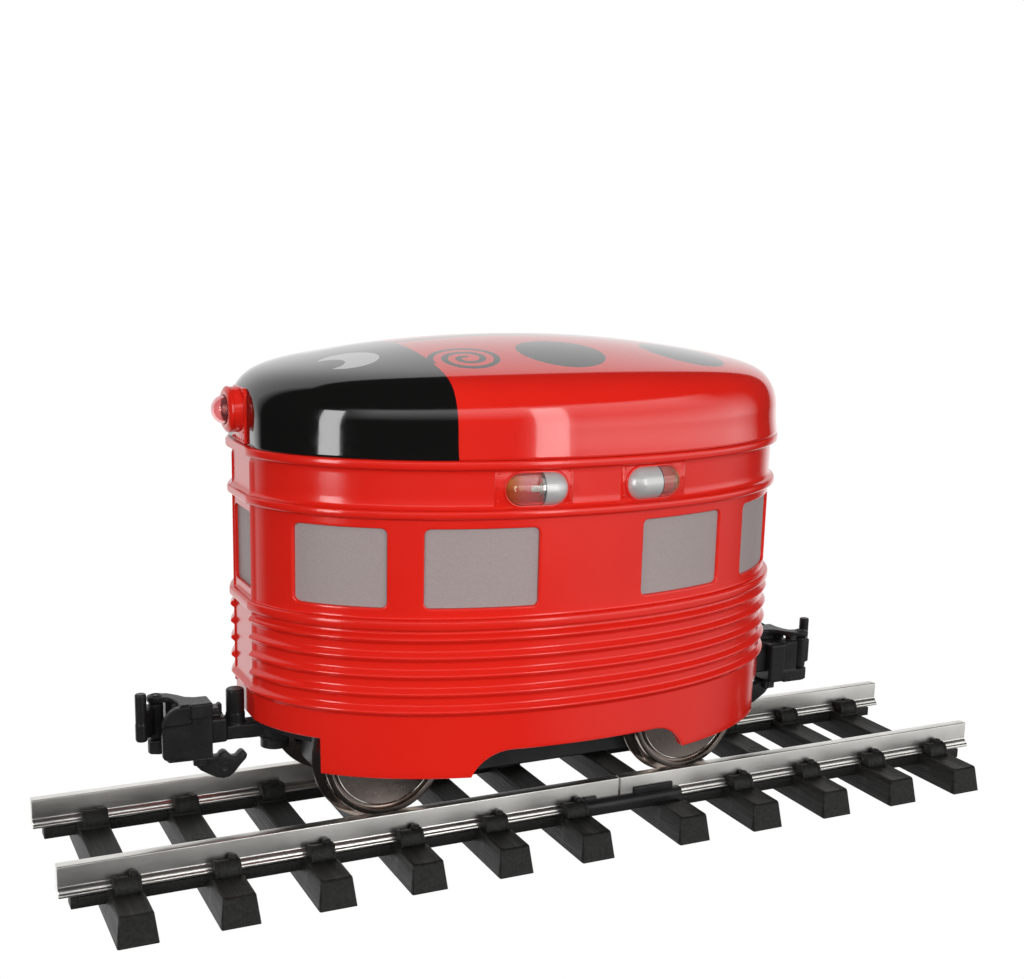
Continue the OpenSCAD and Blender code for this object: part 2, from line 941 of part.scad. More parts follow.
module drawbar() {
    color(black)
        difference() {
            union() {
                translate([pivot_x, 0, 0])
                    rod(5, shank_z[0] - 0.6, shank_z[1]);
                box([pivot_x, head_x[0]], [-3, 3], shank_z);
                box([84.4, head_x[0]], [-3.2, 3.2], [shank_z[0], 42.2]);
                translate([86.6, 0, 0])
                    rod(2.5, 42.1, 50.2);
            }
            translate([pivot_x, 0, 0])
                rod(2.25, 30, 50);
        }
}

module drawbar_screw() {
    color(steel)
        translate([pivot_x, 0, 0]) {
            rod(4.2, 31.8, 35.2);
            rod(2.2, 35.1, floor_z);
            rod(1.5, floor_z - 0.1, 45.5);
        }
}

// Head with a guard arm on +Y, a jaw, and two ears that hold the knuckle pin
module coupler_head() {
    color(black)
        difference() {
            union() {
                box(head_x, [-head_w / 2, head_w / 2], [34.3, head_z[1] - 1]);
                box([head_x[0], head_x[1] - 4], [-head_w / 2, head_w / 2], [head_z[0], head_z[1]]);
                // Lower and upper ears round the pin
                for (z = [[head_z[0], ear_gap_z[0]], [ear_gap_z[1], head_z[1]]])
                    linear_extrude_between(z) {
                        translate([head_x[1] - 7, knuckle_pin[1] - 2.6])
                            square([7.7, 5.2]);
                        translate(knuckle_pin)
                            circle(r = 2.6);
                    }
                // Side block
                box([head_x[0], head_x[0] + 5.4], [head_w / 2 - 0.1, head_w / 2 + 1.2], [44.8, head_z[1]]);
                // Lugs for the release lever
                for (y = [[-3.6, -1.9], [1.9, 3.6]])
                    box([lever_hinge[0] - 2.2, lever_hinge[0] + 2.2], y, [29.4, head_z[0] + 1]);
            }
            // Jaw
            box([head_x[1] - 6.4, head_x[1] + 1], [-1.6, head_w / 2 - 2.2], [34.3, jaw_top_z]);
            // Room for the knuckle
            translate([0, 0, ear_gap_z[0]])
                linear_extrude(ear_gap_z[1] - ear_gap_z[0]) {
                    translate(knuckle_pin)
                        circle(r = 4);
                    translate([knuckle_pin[0] - 4, knuckle_pin[1] - 4])
                        square([5, 8]);
                }
            translate([knuckle_pin[0], knuckle_pin[1], 0])
                rod(1, 30, 53);
            translate([lever_hinge[0], 0, 30.8])
                rotate([90, 0, 0])
                    rod(0.8, -10, 10);
        }
}

module linear_extrude_between(z) {
    translate([0, 0, z[0]])
        linear_extrude(z[1] - z[0])
            children();
}

module knuckle_pin_part() {
    color(steel)
        translate([knuckle_pin[0], knuckle_pin[1], 0])
            rod(1, head_z[0], head_z[1] + 0.2);
}

// Column round the pin, a web and the upright bar that grips the next coupler
module knuckle() {
    color(black)
        difference() {
            union() {
                translate([knuckle_pin[0], knuckle_pin[1], 0])
                    rod(knuckle_column_r, ear_gap_z[0] + 0.3, ear_gap_z[1] - 0.3);
                linear_extrude_between([38.2, 46.8])
                    polygon([knuckle_pin + [-0.6, -2.3], knuckle_pin + [3.2, -1.6], [114.2, -0.8],
                        [113, 1.4], knuckle_pin + [0.8, 2.3]]);
                translate([113.4, 0.6, 0])
                    rod(1.5, 38.2, 52);
            }
            translate([knuckle_pin[0], knuckle_pin[1], 0])
                rod(1 + running, 30, 60);
        }
}

// Weighted lever under the head; its hooked tail swings up
module release_lever() {
    color(black)
        rotate([90, 0, 0])
            difference() {
                linear_extrude(3, center = true)
                    polygon([[99.6, 31.2], [98.9, 29.4], [97.4, 27.6], [95.2, 26.2], [92.2, 24.5], [90.4, 24.2],
                        [88.6, 24.7], [86.2, 26.8], [83.8, 29.6], [84.1, 31.1], [85.1, 31.6], [86, 30.9],
                        [87.2, 30.2], [88.6, 30.8], [89.6, 32.1], [90.8, 32.2], [91.6, 31.2], [94, 30.9],
                        [95.7, 31.8], [96.6, 32.3], [98.8, 32.3]]);
                translate([lever_hinge[0], 30.8, 0])
                    rod(0.8 + running, -5, 5);
            }
}

module lever_pin() {
    color(steel)
        translate([lever_hinge[0], 0, 30.8])
            rotate([90, 0, 0])
                rod(0.8, -3.8, 3.8);
}

tie_strip_front();
tie_strip_rear();
rail_left_front();
rail_right_front();
rail_left_rear();
rail_right_rear();
rail_joiners();
at_car() body_shell();
at_car() roof();
at_car() side_windows_left();
at_car() side_windows_right();
at_car() front_door_window();
at_car() rear_door_window();
at_car() lamp_bezels();
at_car() lamp_housings();
at_car() lamp_lenses();
at_car() lamp_leds();
at_car() headlight_housing();
at_car() headlight_lens();
at_car() headlight_led();
at_car() chassis();
at_car() shell_screws();
at_car() gearbox_upper();
at_car() gearbox_lower();
at_car() gearbox_screws();
at_car() motor();
at_car() shaft_bearings();
at_car() axle_bushings();
at_car() wheel_wipers();
at_car() circuit_board();
at_car() ballast_weights();
at_car() lighting_leads();
at_car() motor_leads();
at_car() motor_shaft();
at_car() worms();
at_car() flywheels();
at_car() front_axle();
at_car() front_wheels();
at_car() front_axle_gear();
at_car() rear_axle();
at_car() rear_wheels();
at_car() rear_axle_gear();
at_car() drawbar();  // drawbar_front
at_car() drawbar_screw();  // drawbar_screw_front
at_car() coupler_head();  // coupler_head_front
at_car() knuckle_pin_part();  // knuckle_pin_front
at_car() lever_pin();  // lever_pin_front
at_car() knuckle();  // knuckle_front
at_car() release_lever();  // release_lever_front
at_rear() drawbar();  // drawbar_rear
at_rear() drawbar_screw();  // drawbar_screw_rear
at_rear() coupler_head();  // coupler_head_rear
at_rear() knuckle_pin_part();  // knuckle_pin_rear
at_rear() lever_pin();  // lever_pin_rear
at_rear() knuckle();  // knuckle_rear
at_rear() release_lever();  // release_lever_rear
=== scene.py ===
"""Looks of the egg-shaped railcar on its two track sections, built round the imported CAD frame.

Lengths inside this file are millimetres, in the row frame; piece() turns them into metres.
Shapes of the car are drawn round the car's own centre, and in_car() moves them forward by CAR_X.
"""
import math

import bmesh
import bpy
import numpy as np
from mathutils import Matrix, Vector


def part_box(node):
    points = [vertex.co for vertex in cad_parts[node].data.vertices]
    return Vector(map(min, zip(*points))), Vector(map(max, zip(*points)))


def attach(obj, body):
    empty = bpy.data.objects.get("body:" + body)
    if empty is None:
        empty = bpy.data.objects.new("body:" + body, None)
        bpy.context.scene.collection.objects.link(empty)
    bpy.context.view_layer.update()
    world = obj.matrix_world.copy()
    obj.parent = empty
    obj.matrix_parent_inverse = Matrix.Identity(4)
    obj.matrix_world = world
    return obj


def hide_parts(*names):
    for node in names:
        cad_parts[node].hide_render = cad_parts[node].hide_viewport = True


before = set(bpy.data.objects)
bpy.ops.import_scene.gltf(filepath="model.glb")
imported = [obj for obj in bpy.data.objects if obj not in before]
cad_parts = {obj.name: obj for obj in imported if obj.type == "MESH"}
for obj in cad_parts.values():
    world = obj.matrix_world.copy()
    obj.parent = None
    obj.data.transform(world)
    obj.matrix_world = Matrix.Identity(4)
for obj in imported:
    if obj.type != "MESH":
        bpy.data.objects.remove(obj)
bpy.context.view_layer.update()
MM = 0.001


def box_mm(node):
    lo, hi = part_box(node)
    return np.array(lo) / MM, np.array(hi) / MM


shell_lo, shell_hi = box_mm("body_shell")
rail_lo, rail_hi = box_mm("rail_left_front")
wheel_lo, wheel_hi = box_mm("front_wheels")
CAR_X = (shell_lo[0] + shell_hi[0]) / 2
ROOF_Z = box_mm("roof")[0][2]
RAIL_TOP = rail_hi[2]
RAIL_Y = (rail_lo[1] + rail_hi[1]) / 2
RAIL_SEAT = rail_lo[2]
AXLE_X = (wheel_lo[0] + wheel_hi[0]) / 2 - CAR_X
AXLE_Z = (wheel_lo[2] + wheel_hi[2]) / 2
WHEEL_FACE = wheel_hi[1]
ENDS = ((1, "front"), (-1, "rear"))
SIDES = ((1, "left"), (-1, "right"))

# ---------------------------------------------------------------- meshes


class Shape:
    """Closed parts of one piece, in millimetres."""

    def __init__(self):
        self.points, self.faces = [], []

    def add(self, part, place=None):
        """Takes in a part (points, faces), moved by place where it is given."""
        points, faces = part
        base = len(self.points)
        points = np.asarray(points, float)
        if place is not None:
            points = place(points)
        self.points.extend(points.tolist())
        self.faces.extend([tuple(base + i for i in f) for f in faces])
        return self


def piece(name, body, shape, material, stands_for=(), slot=None, sharp=38):
    """One finished object that rides on a body; edges past the sharp angle stay hard."""
    mesh = bpy.data.meshes.new(name)
    mesh.from_pydata((np.asarray(shape.points) * MM).tolist(), [], shape.faces)
    bm = bmesh.new()
    bm.from_mesh(mesh)
    bmesh.ops.remove_doubles(bm, verts=bm.verts, dist=1e-6)
    bmesh.ops.dissolve_degenerate(bm, edges=bm.edges, dist=1e-7)
    bmesh.ops.recalc_face_normals(bm, faces=bm.faces)
    bm.to_mesh(mesh)
    bm.free()
    mesh.shade_smooth()
    mesh.set_sharp_from_angle(angle=math.radians(sharp))
    obj = bpy.data.objects.new(name, mesh)
    bpy.context.scene.collection.objects.link(obj)
    mesh.materials.append(MAT[material])
    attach(obj, body)
    if stands_for:
        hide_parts(*stands_for)
    return obj


def strip_faces(rows, cols, wrap_rows=False, wrap_cols=True):
    """Quads between rows of points stored one row after another."""
    out = []
    for i in range(rows if wrap_rows else rows - 1):
        k = (i + 1) % rows
        for j in range(cols if wrap_cols else cols - 1):
            m = (j + 1) % cols
            out.append((i * cols + j, i * cols + m, k * cols + m, k * cols + j))
    return out


def capped_faces(rows, cols):
    """Quads between closed rows, with a cap on the first and the last row."""
    last = (rows - 1) * cols
    return strip_faces(rows, cols) + [tuple(range(cols)), tuple(range(last, last + cols))]


def revolve(profile, steps=96, ring=False, at=(0, 0)):
    """Profile of (radius, height) turned about a vertical line; a ring profile closes on itself."""
    turn = np.linspace(0, 2 * math.pi, steps, endpoint=False)
    points = [(at[0] + r * math.cos(t), at[1] + r * math.sin(t), h) for r, h in profile for t in turn]
    rows = len(profile)
    return points, strip_faces(rows, steps, wrap_rows=True) if ring else capped_faces(rows, steps)


def loop_tube(path, radius, steps=10):
    """Round tube along a closed path."""
    path = np.asarray(path, float)
    points, side = [], None
    for i, p in enumerate(path):
        t = path[(i + 1) % len(path)] - path[i - 1]
        t /= np.linalg.norm(t)
        if side is None:
            side = np.cross(t, (0, 0, 1) if abs(t[2]) < 0.9 else (1, 0, 0))
        side = side - t * (side @ t)
        side /= np.linalg.norm(side)
        up = np.cross(t, side)
        for a in np.linspace(0, 2 * math.pi, steps, endpoint=False):
            points.append(p + radius * (math.cos(a) * side + math.sin(a) * up))
    return points, strip_faces(len(path), steps, wrap_rows=True)


AXES = {"x": (1, 2, 0), "y": (0, 2, 1), "z": (0, 1, 2)}
ROUNDED_FROM = math.radians(20)


def slab(outline, lo, hi, axis, bevel=0.25, segments=2):
    """Prism of a flat outline from lo to hi along an axis, with rounded edges."""
    order = AXES[axis]
    bm = bmesh.new()
    rings = []
    for w in (lo, hi):
        ring = []
        for u, v in outline:
            p = [0.0, 0.0, 0.0]
            p[order[0]], p[order[1]], p[order[2]] = u, v, w
            ring.append(bm.verts.new(p))
        rings.append(ring)
    n = len(outline)
    bm.faces.new(rings[0][::-1])
    bm.faces.new(rings[1])
    for i in range(n):
        j = (i + 1) % n
        bm.faces.new((rings[0][i], rings[0][j], rings[1][j], rings[1][i]))
    bmesh.ops.recalc_face_normals(bm, faces=bm.faces)
    edges = [e for e in bm.edges if e.calc_face_angle(0) > ROUNDED_FROM]
    bmesh.ops.bevel(
        bm, geom=edges, offset=bevel, segments=segments, profile=0.5, affect="EDGES", clamp_overlap=True
    )
    bm.verts.index_update()
    points = [tuple(v.co) for v in bm.verts]
    faces = [tuple(v.index for v in f.verts) for f in bm.faces]
    bm.free()
    return points, faces


def block(x, y, z, bevel=0.25):
    """Box between two values on each axis, with rounded edges."""
    return slab([(x[0], y[0]), (x[1], y[0]), (x[1], y[1]), (x[0], y[1])], z[0], z[1], "z", bevel)


def raised(points, dz):
    """Outline moved up by dz; its points are (across, height)."""
    return [(u, dz + z) for u, z in points]


def in_car(points):
    return points + np.array([CAR_X, 0, 0])


def at_rear(points):
    return points * np.array([-1, -1, 1]) + np.array([CAR_X, 0, 0])


# ---------------------------------------------------------------- materials


class Graph:
    """Short way to write a node tree."""

    def __init__(self, tree):
        self.tree = tree

    def new(self, kind):
        return self.tree.nodes.new(kind)

    def link(self, source, socket):
        self.tree.links.new(source, socket)

    def put(self, socket, value):
        """Links a socket, or sets a value; three numbers may also be a colour."""
        if isinstance(value, bpy.types.NodeSocket):
            self.link(value, socket)
            return
        if isinstance(value, tuple) and len(value) == 3:
            value = (*value, 1)
        socket.default_value = value

    def math(self, operation, *values, clamp=False):
        n = self.new("ShaderNodeMath")
        n.operation = operation
        n.use_clamp = clamp
        for socket, value in zip(n.inputs, values):
            self.put(socket, value)
        return n.outputs[0]

    def add(self, a, b, clamp=False):
        return self.math("ADD", a, b, clamp=clamp)

    def sub(self, a, b):
        return self.math("SUBTRACT", a, b)

    def mul(self, a, b):
        return self.math("MULTIPLY", a, b)

    def least(self, a, b):
        return self.math("MINIMUM", a, b)

    def most(self, a, b):
        return self.math("MAXIMUM", a, b)

    def length(self, u, v):
        return self.math("SQRT", self.add(self.mul(u, u), self.mul(v, v)))

    def towards(self, x, y, degrees):
        """How far (x, y) reaches in a direction given by its angle from +X."""
        a = math.radians(degrees)
        return self.add(self.mul(x, math.cos(a)), self.mul(y, math.sin(a)))

    def mix(self, factor, a, b):
        n = self.new("ShaderNodeMix")
        n.data_type = "RGBA"
        for socket, value in zip((n.inputs[0], n.inputs[6], n.inputs[7]), (factor, a, b)):
            self.put(socket, value)
        return n.outputs[2]

    def coords(self, scale=(1, 1, 1)):
        """Object coordinates in millimetres, stretched by scale."""
        n = self.new("ShaderNodeVectorMath")
        n.operation = "MULTIPLY"
        self.put(n.inputs[0], self.new("ShaderNodeTexCoord").outputs["Object"])
        n.inputs[1].default_value = [1000 * s for s in scale]
        return n.outputs[0]

    def split(self, vector):
        n = self.new("ShaderNodeSeparateXYZ")
        self.put(n.inputs[0], vector)
        return n.outputs[0], n.outputs[1], n.outputs[2]

    def noise(self, scale, detail=2.0, stretch=(1, 1, 1), roughness=0.5, vector=None):
        n = self.new("ShaderNodeTexNoise")
        self.put(n.inputs["Vector"], self.coords(stretch) if vector is None else vector)
        n.inputs["Scale"].default_value = scale
        n.inputs["Detail"].default_value = detail
        n.inputs["Roughness"].default_value = roughness
        return n.outputs["Fac"]

    def remap(self, value, a, b, c, d):
        """Value from a..b to c..d, held at the ends."""
        n = self.new("ShaderNodeMapRange")
        for socket, x in zip(n.inputs, (value, a, b, c, d)):
            self.put(socket, x)
        return n.outputs[0]

    def bump(self, height, distance, strength=1.0):
        n = self.new("ShaderNodeBump")
        self.put(n.inputs["Height"], height)
        n.inputs["Distance"].default_value = distance * MM
        n.inputs["Strength"].default_value = strength
        return n.outputs[0]

    def soft_edge(self, inside, width=0.12):
        """1 where inside is positive, 0 where negative, blended over width."""
        return self.add(self.math("DIVIDE", inside, width), 0.5, clamp=True)


class Paint(Graph):
    """A new node material."""

    def __init__(self, name):
        self.material = bpy.data.materials.new(name)
        self.material.use_nodes = True
        super().__init__(self.material.node_tree)
        self.shader = self.tree.nodes["Principled BSDF"]
        self.output = self.tree.nodes["Material Output"]

    def set(self, **values):
        for key, value in values.items():
            self.put(self.shader.inputs[key.replace("_", " ")], value)
        return self.material


RED = (0.66, 0.0150, 0.0080)
RED_DEEP = (0.62, 0.0130, 0.0070)
BLACK = (0.0045, 0.0042, 0.0040)
EYE_WHITE = (0.44, 0.44, 0.45)


def mottled_red(n):
    return n.mix(n.remap(n.noise(0.03, 2), 0.3, 0.7, 0, 1), RED, RED_DEEP)


def body_paint():
    n = Paint("body_red_paint")
    return n.set(
        Base_Color=mottled_red(n),
        Roughness=n.remap(n.noise(0.4, 2), 0.3, 0.7, 0.16, 0.20),
        Coat_Weight=0.25,
        Coat_Roughness=0.06,
        Normal=n.bump(n.noise(0.9, 2), 0.008, 0.4),
    )


def roof_paint():
    """Black head with two eyes; red back with a dark seam, four spots and two curls."""
    n = Paint("roof_ladybird_paint")
    x, y, _ = n.split(n.coords())
    x = n.sub(x, CAR_X)
    side = n.math("ABSOLUTE", y)

    def disc(cx, cy, r):
        return n.sub(r, n.length(n.sub(x, cx), n.sub(side, cy)))

    head_x = 39.4
    head = n.sub(x, head_x)
    seam = n.sub(n.remap(x, head_x, -84.0, 1.9, 5.2), side)
    spots = n.most(disc(0, 28.8, 12.7), disc(-43.2, 23.2, 12.7))
    # Curl that unwinds from the head: its radius falls by one pitch a turn
    curl_x, curl_y, start_r, pitch, turns = 29.0, 30.0, 10.3, 3.9, 2.35
    u = n.sub(x, curl_x)
    v = n.sub(curl_y, side)
    turn = n.math("DIVIDE", n.math("ARCTAN2", v, u), 2 * math.pi)
    wound = n.math("DIVIDE", n.sub(start_r, n.length(u, v)), pitch)
    along = n.add(n.math("ROUND", n.sub(wound, turn)), turn)
    off = n.mul(n.math("ABSOLUTE", n.sub(wound, along)), pitch)
    curl = n.sub(n.remap(along, 0, turns, 0.9, 0.95), off)
    curl = n.least(curl, n.mul(n.sub(turns, along), pitch))
    curl = n.least(curl, n.mul(n.add(along, 0.02), 2 * pitch))
    dark = n.most(n.most(head, seam), n.most(spots, curl))
    eye = n.least(disc(58.0, 15.6, 8.5), n.mul(disc(64.3, 16.2, 5.0), -1.0))
    color = n.mix(n.soft_edge(dark), mottled_red(n), BLACK)
    return n.set(
        Base_Color=n.mix(n.soft_edge(eye), color, EYE_WHITE),
        Roughness=n.remap(n.noise(0.4, 2), 0.3, 0.7, 0.07, 0.11),
        Coat_Weight=0.5,
        Coat_Roughness=0.03,
        Normal=n.bump(n.noise(0.5, 2), 0.01, 0.4),
    )


def moulded_plastic(name, color, rough=0.42, grain=2.0, depth=0.01, shine=0.5):
    """Plastic with a fine grain pressed into it."""
    n = Paint(name)
    fine = n.noise(grain, 3)
    lighter = tuple(min(1, c * 1.35 + 0.004) for c in color)
    return n.set(
        Base_Color=n.mix(n.remap(n.noise(0.12, 2), 0.3, 0.7, 0, 1), color, lighter),
        Roughness=n.remap(fine, 0.3, 0.7, rough - 0.07, rough + 0.08),
        Specular_IOR_Level=shine,
        Normal=n.bump(fine, depth, 0.6),
    )


def brushed_metal(name, color, rough=0.25, stretch=(1, 1, 1), grain=3.0, depth=0.004, vary=0.08):
    """Metal with fine lines where stretch draws its grain out, and a cloudy tone."""
    n = Paint(name)
    lines = n.noise(grain, 4, stretch, 0.6)
    darker = tuple(c * 0.78 for c in color)
    return n.set(
        Base_Color=n.mix(n.remap(n.noise(0.06, 3), 0.3, 0.7, 0, 1), color, darker),
        Metallic=1.0,
        Roughness=n.remap(lines, 0.25, 0.75, rough - vary, rough + vary),
        Normal=n.bump(lines, depth, 0.5),
    )


def satin_silver():
    """Silver paint on the lamp shells: half scattering, half mirror."""
    n = Paint("lamp_satin_silver")
    flake = n.noise(3.0, 2)
    return n.set(
        Base_Color=n.mix(flake, (0.52, 0.515, 0.51), (0.62, 0.615, 0.61)),
        Metallic=0.45,
        Roughness=n.remap(flake, 0.3, 0.7, 0.30, 0.42),
        Normal=n.bump(flake, 0.006, 0.3),
    )


def silver_fleck():
    """Pane film: pale metallic grain."""
    n = Paint("window_silver_film")
    fleck = n.new("ShaderNodeTexVoronoi")
    n.put(fleck.inputs["Vector"], n.coords())
    fleck.inputs["Scale"].default_value = 4.0
    tone = n.split(fleck.outputs["Color"])[0]
    level = n.add(n.mul(tone, 0.3), n.mul(n.noise(3.0, 3, roughness=0.6), 0.7))
    return n.set(
        Base_Color=n.mix(n.remap(level, 0.2, 0.8, 0, 1), (0.280, 0.229, 0.226), (0.366, 0.308, 0.304)),
        Metallic=0.15,
        Roughness=n.remap(tone, 0, 1, 0.5, 0.62),
        Normal=n.bump(level, 0.015, 0.25),
    )


def clear_plastic(name, color, tip=None):
    """Clear moulding; a lamp's dome takes the tip colour towards its far end."""
    n = Paint(name)
    tint = n.mix(n.noise(0.3, 2), color, tuple(c * 0.96 for c in color))
    if tip:
        off = n.math("ABSOLUTE", n.sub(n.split(n.coords())[0], CAR_X))
        tint = n.mix(n.remap(off, 22.5, 26.3, 0, 1), tint, tip)
    return n.set(
        Base_Color=tint,
        Transmission_Weight=0.95,
        Roughness=n.remap(n.noise(1.0, 2), 0.3, 0.7, 0.03, 0.08),
        IOR=1.46,
        Normal=n.bump(n.noise(0.7, 1), 0.01, 0.3),
    )


TIE_HALF = 46.0


def tie_plastic():
    """Black plastic with wood grain running along the tie, pressed into its top only."""
    n = Paint("tie_wood_grain_plastic")
    x, y, z = n.split(n.coords((1, 0.035, 1)))
    combine = n.new("ShaderNodeCombineXYZ")
    wavy_x = n.add(x, n.mul(n.noise(0.05, 2, (1, 0.4, 1)), 2.0))
    for socket, value in zip(combine.inputs, (wavy_x, y, z)):
        n.put(socket, value)
    lines = n.noise(1.1, 5, roughness=0.65, vector=combine.outputs[0])
    across = n.math("ABSOLUTE", n.split(n.coords())[1])
    height = n.mul(lines, n.remap(across, TIE_HALF - 1.6, TIE_HALF - 1.0, 1, 0))
    return n.set(
        Base_Color=n.mix(n.remap(lines, 0.35, 0.65, 0, 1), (0.0085, 0.0085, 0.0080), (0.018, 0.018, 0.017)),
        Roughness=n.remap(lines, 0.3, 0.7, 0.50, 0.40),
        Specular_IOR_Level=0.22,
        Normal=n.bump(height, 0.30, 0.8),
    )


ALONG = (0.08, 1, 1)  # grain drawn out along the track
MAT = {
    "red": body_paint(),
    "roof": roof_paint(),
    "pane": silver_fleck(),
    "black": moulded_plastic("moulded_black_plastic", (0.010, 0.010, 0.0105), 0.36, 1.6, 0.02, 0.3),
    "coupler": moulded_plastic("coupler_black_plastic", (0.0080, 0.0080, 0.0083), 0.33, 1.2, 0.02, 0.3),
    "tie": tie_plastic(),
    "rail": brushed_metal("rail_nickel_silver", (0.93, 0.915, 0.87), 0.33, ALONG, 1.6, 0.0002, 0.04),
    "wheel": brushed_metal("wheel_nickel", (0.40, 0.335, 0.30), 0.20, grain=1.0, depth=0.003),
    # The dish and hub are the wheels' own nickel painted darker: a painted dark reflection in the hollow dish
    "dish": brushed_metal("wheel_dish_painted_shade", (0.15, 0.125, 0.113), 0.22, grain=1.0, depth=0.003),
    # Lighter copy of the same nickel: on the wheels' edge rings a painted highlight, on the lamp cups their own
    # polished silver
    "bright": brushed_metal("polished_metal_and_painted_highlight", (0.80, 0.77, 0.72), 0.14, grain=1.0, depth=0.002),
    "lamp": satin_silver(),
    "screw": brushed_metal("screw_steel", (0.55, 0.54, 0.52), 0.28, grain=2.0),
    "brass": brushed_metal("brass", (0.72, 0.50, 0.20), 0.30, grain=1.5),
    "can": brushed_metal("motor_can", (0.58, 0.57, 0.56), 0.30, (0.1, 1, 1), 2.0),
    "board": moulded_plastic("circuit_board_green", (0.01, 0.09, 0.025), 0.35),
    "ballast": brushed_metal("cast_ballast", (0.22, 0.22, 0.23), 0.5, grain=0.8, depth=0.05),
    "lead": moulded_plastic("lead_insulation", (0.30, 0.02, 0.02), 0.45),
    "lens": clear_plastic("lamp_lens_clear", (0.97, 0.97, 0.96), (0.80, 0.76, 0.22)),
    "dome": clear_plastic("headlight_dome", (0.90, 0.42, 0.43)),
    "led": moulded_plastic("led_cream", (0.46, 0.43, 0.38), 0.25),
}

# ---------------------------------------------------------------- car body

# Half length, half width and power of the body's oval, and where its ends are cut flat
OVAL_A, OVAL_B, POWER, END_X = 84.6, 52.8, 2.12, 83.6
WALL = 2.4
PANEL_Y = 9.2  # half width of the flat end panels
EDGE = 0.32  # rounding round each window opening
ROUND = 1.6 + EDGE  # corner radius of an opening with its rounding
WINDOW_Z = (81.2, 102.8)
SIDE_WINDOWS = ((16.5, 47.0), (56.0, 76.5), (-44.8, -15.6), (-76.5, -56.2))
DOOR_WINDOW = (-8.2, 8.2)
SQUARE_Z = (WINDOW_Z[0] - EDGE + ROUND, WINDOW_Z[1] + EDGE - ROUND)  # between an opening's corners
BAND_Z = (79.6, 104.3)
SKIRT_TOP = 49.4
RIBS = [52.6 + 5.07 * i for i in range(5)]
RIB_W, RIB_H = 3.3, 1.4
DEEP_SKIRT_Z, ARCH_Z, END_SKIRT_Z = shell_lo[2], 40.6, 43.2
# Half width of the arch's flat top, run of the curve beside it, and where the skirt steps up
ARCH_X, ARCH_RUN, STEP_X = 22.5, 11.5, 71.0


def oval_y(x):
    return OVAL_B * max(0.0, 1 - (abs(x) / OVAL_A) ** POWER) ** (1 / POWER)


def oval_normal(x, y):
    sizes = ((x, OVAL_A), (y, OVAL_B))
    n = np.array([math.copysign((abs(v) / a) ** (POWER - 1) / a, v) for v, a in sizes])
    return n / np.linalg.norm(n)


def on_wall(x, side=1):
    """Point of the body outline at x and its outward direction."""
    y = side * oval_y(x)
    return np.array([x, y]), oval_normal(x, y)


def offset_point(p, n, d):
    """Point d outside the outline; the flat ends stand out less than the beads."""
    limit = END_X + min(d, 1.6)
    q = p + n * d
    return max(-limit, min(limit, q[0])), q[1]


def window_samples(a, b):
    """Places across an opening from a to b where its rounded corners need a column."""
    bow = [ROUND * (1 - math.cos(math.radians(t))) for t in range(0, 91, 15)]
    return [a - EDGE + e for e in bow] + [b + EDGE - e for e in bow]


def spread(lo, hi, needed, step):
    """Even samples from lo to hi, with every needed one taken in exactly."""
    marks = sorted({lo, hi} | {round(v, 6) for v in needed if lo < v < hi})
    out = []
    for a, b in zip(marks, marks[1:]):
        k = max(1, int(math.ceil((b - a) / step)))
        out.extend(a + (b - a) * i / k for i in range(k))
    return out + [hi]


def shell_columns():
    """Every column of the wall, once round: (point, direction, is_end_panel)."""
    needed = [abs(v) for w in SIDE_WINDOWS for v in window_samples(*w)]
    needed += [ARCH_X, ARCH_X + ARCH_RUN, STEP_X - 0.07, STEP_X + 0.07, 82.9]
    # Near the ends the outline turns across the car, so the columns stand closer there
    close_x, last_x = 72, END_X - 0.001
    xs = [x for x in spread(0, last_x, needed, 0.95) if x < close_x]
    xs += spread(close_x, last_x, [v for v in needed if v > close_x], 0.45)
    quarter = [(*on_wall(x), False) for x in xs]
    door = [v for v in window_samples(*DOOR_WINDOW) if v >= 0]
    ys = spread(0, PANEL_Y, door + [PANEL_Y - 0.12, PANEL_Y - 0.5], 0.8)[::-1]
    quarter += [(np.array([END_X, y]), np.array([1.0, 0.0]), True) for y in ys]
    flip_y, flip_x = np.array([1, -1]), np.array([-1, 1])
    half = quarter + [(p * flip_y, n * flip_y, e) for p, n, e in quarter[-2::-1]]
    return half + [(p * flip_x, n * flip_x, e) for p, n, e in half[-2:0:-1]]


def bead_rows(z0, z1, h, head=0.35):
    """Rounded band: rows of (z, how far it stands out)."""
    r, foot = 0.75, 0.35
    turn = np.radians([0, 30, 60, 90])
    rows = [(z0 - foot + foot * math.sin(a), foot - foot * math.cos(a)) for a in turn]
    rows += [(z0 + r - r * math.cos(a), h - r + r * math.sin(a)) for a in turn]
    rows += [(z1 - r + r * math.cos(a), h - r + r * math.sin(a)) for a in turn[::-1]]
    rows += [(z1 + head - head * math.sin(a), head - head * math.cos(a)) for a in turn[::-1]]
    return rows


def rib_out(z, centre):
    off = abs(z - centre) / (RIB_W / 2)
    return RIB_H * (0.5 + 0.5 * math.cos(math.pi * off)) ** 0.85 if off < 1 else 0.0


def skirt_bottom(x):
    """Lower edge of the wall: deep over the wheels, arched between them, high at the ends."""
    x = abs(x)
    if x > STEP_X:
        return END_SKIRT_Z
    if x < ARCH_X:
        return ARCH_Z
    deep = ARCH_Z - DEEP_SKIRT_Z
    r = (ARCH_RUN**2 + deep**2) / (2 * deep)
    return max(DEEP_SKIRT_Z, ARCH_Z - r + math.sqrt(max(0, r * r - (x - ARCH_X) ** 2)))


def stand_out(z, d, x, y, panel):
    """How far the wall stands out: d, the ribs where d is None, or the ridge beside an end panel."""
    edge = abs(abs(y) - PANEL_Y) if abs(x) > 80 else 9
    ridge = 0.4 * max(0, 1 - (edge / 0.42) ** 2) if 50 < z < 118 else 0
    if d is None:
        # Only the lowest rib runs on across the end panels
        d = max(rib_out(z, c) for c in (RIBS[:1] if panel else RIBS))
    return max(d, ridge)


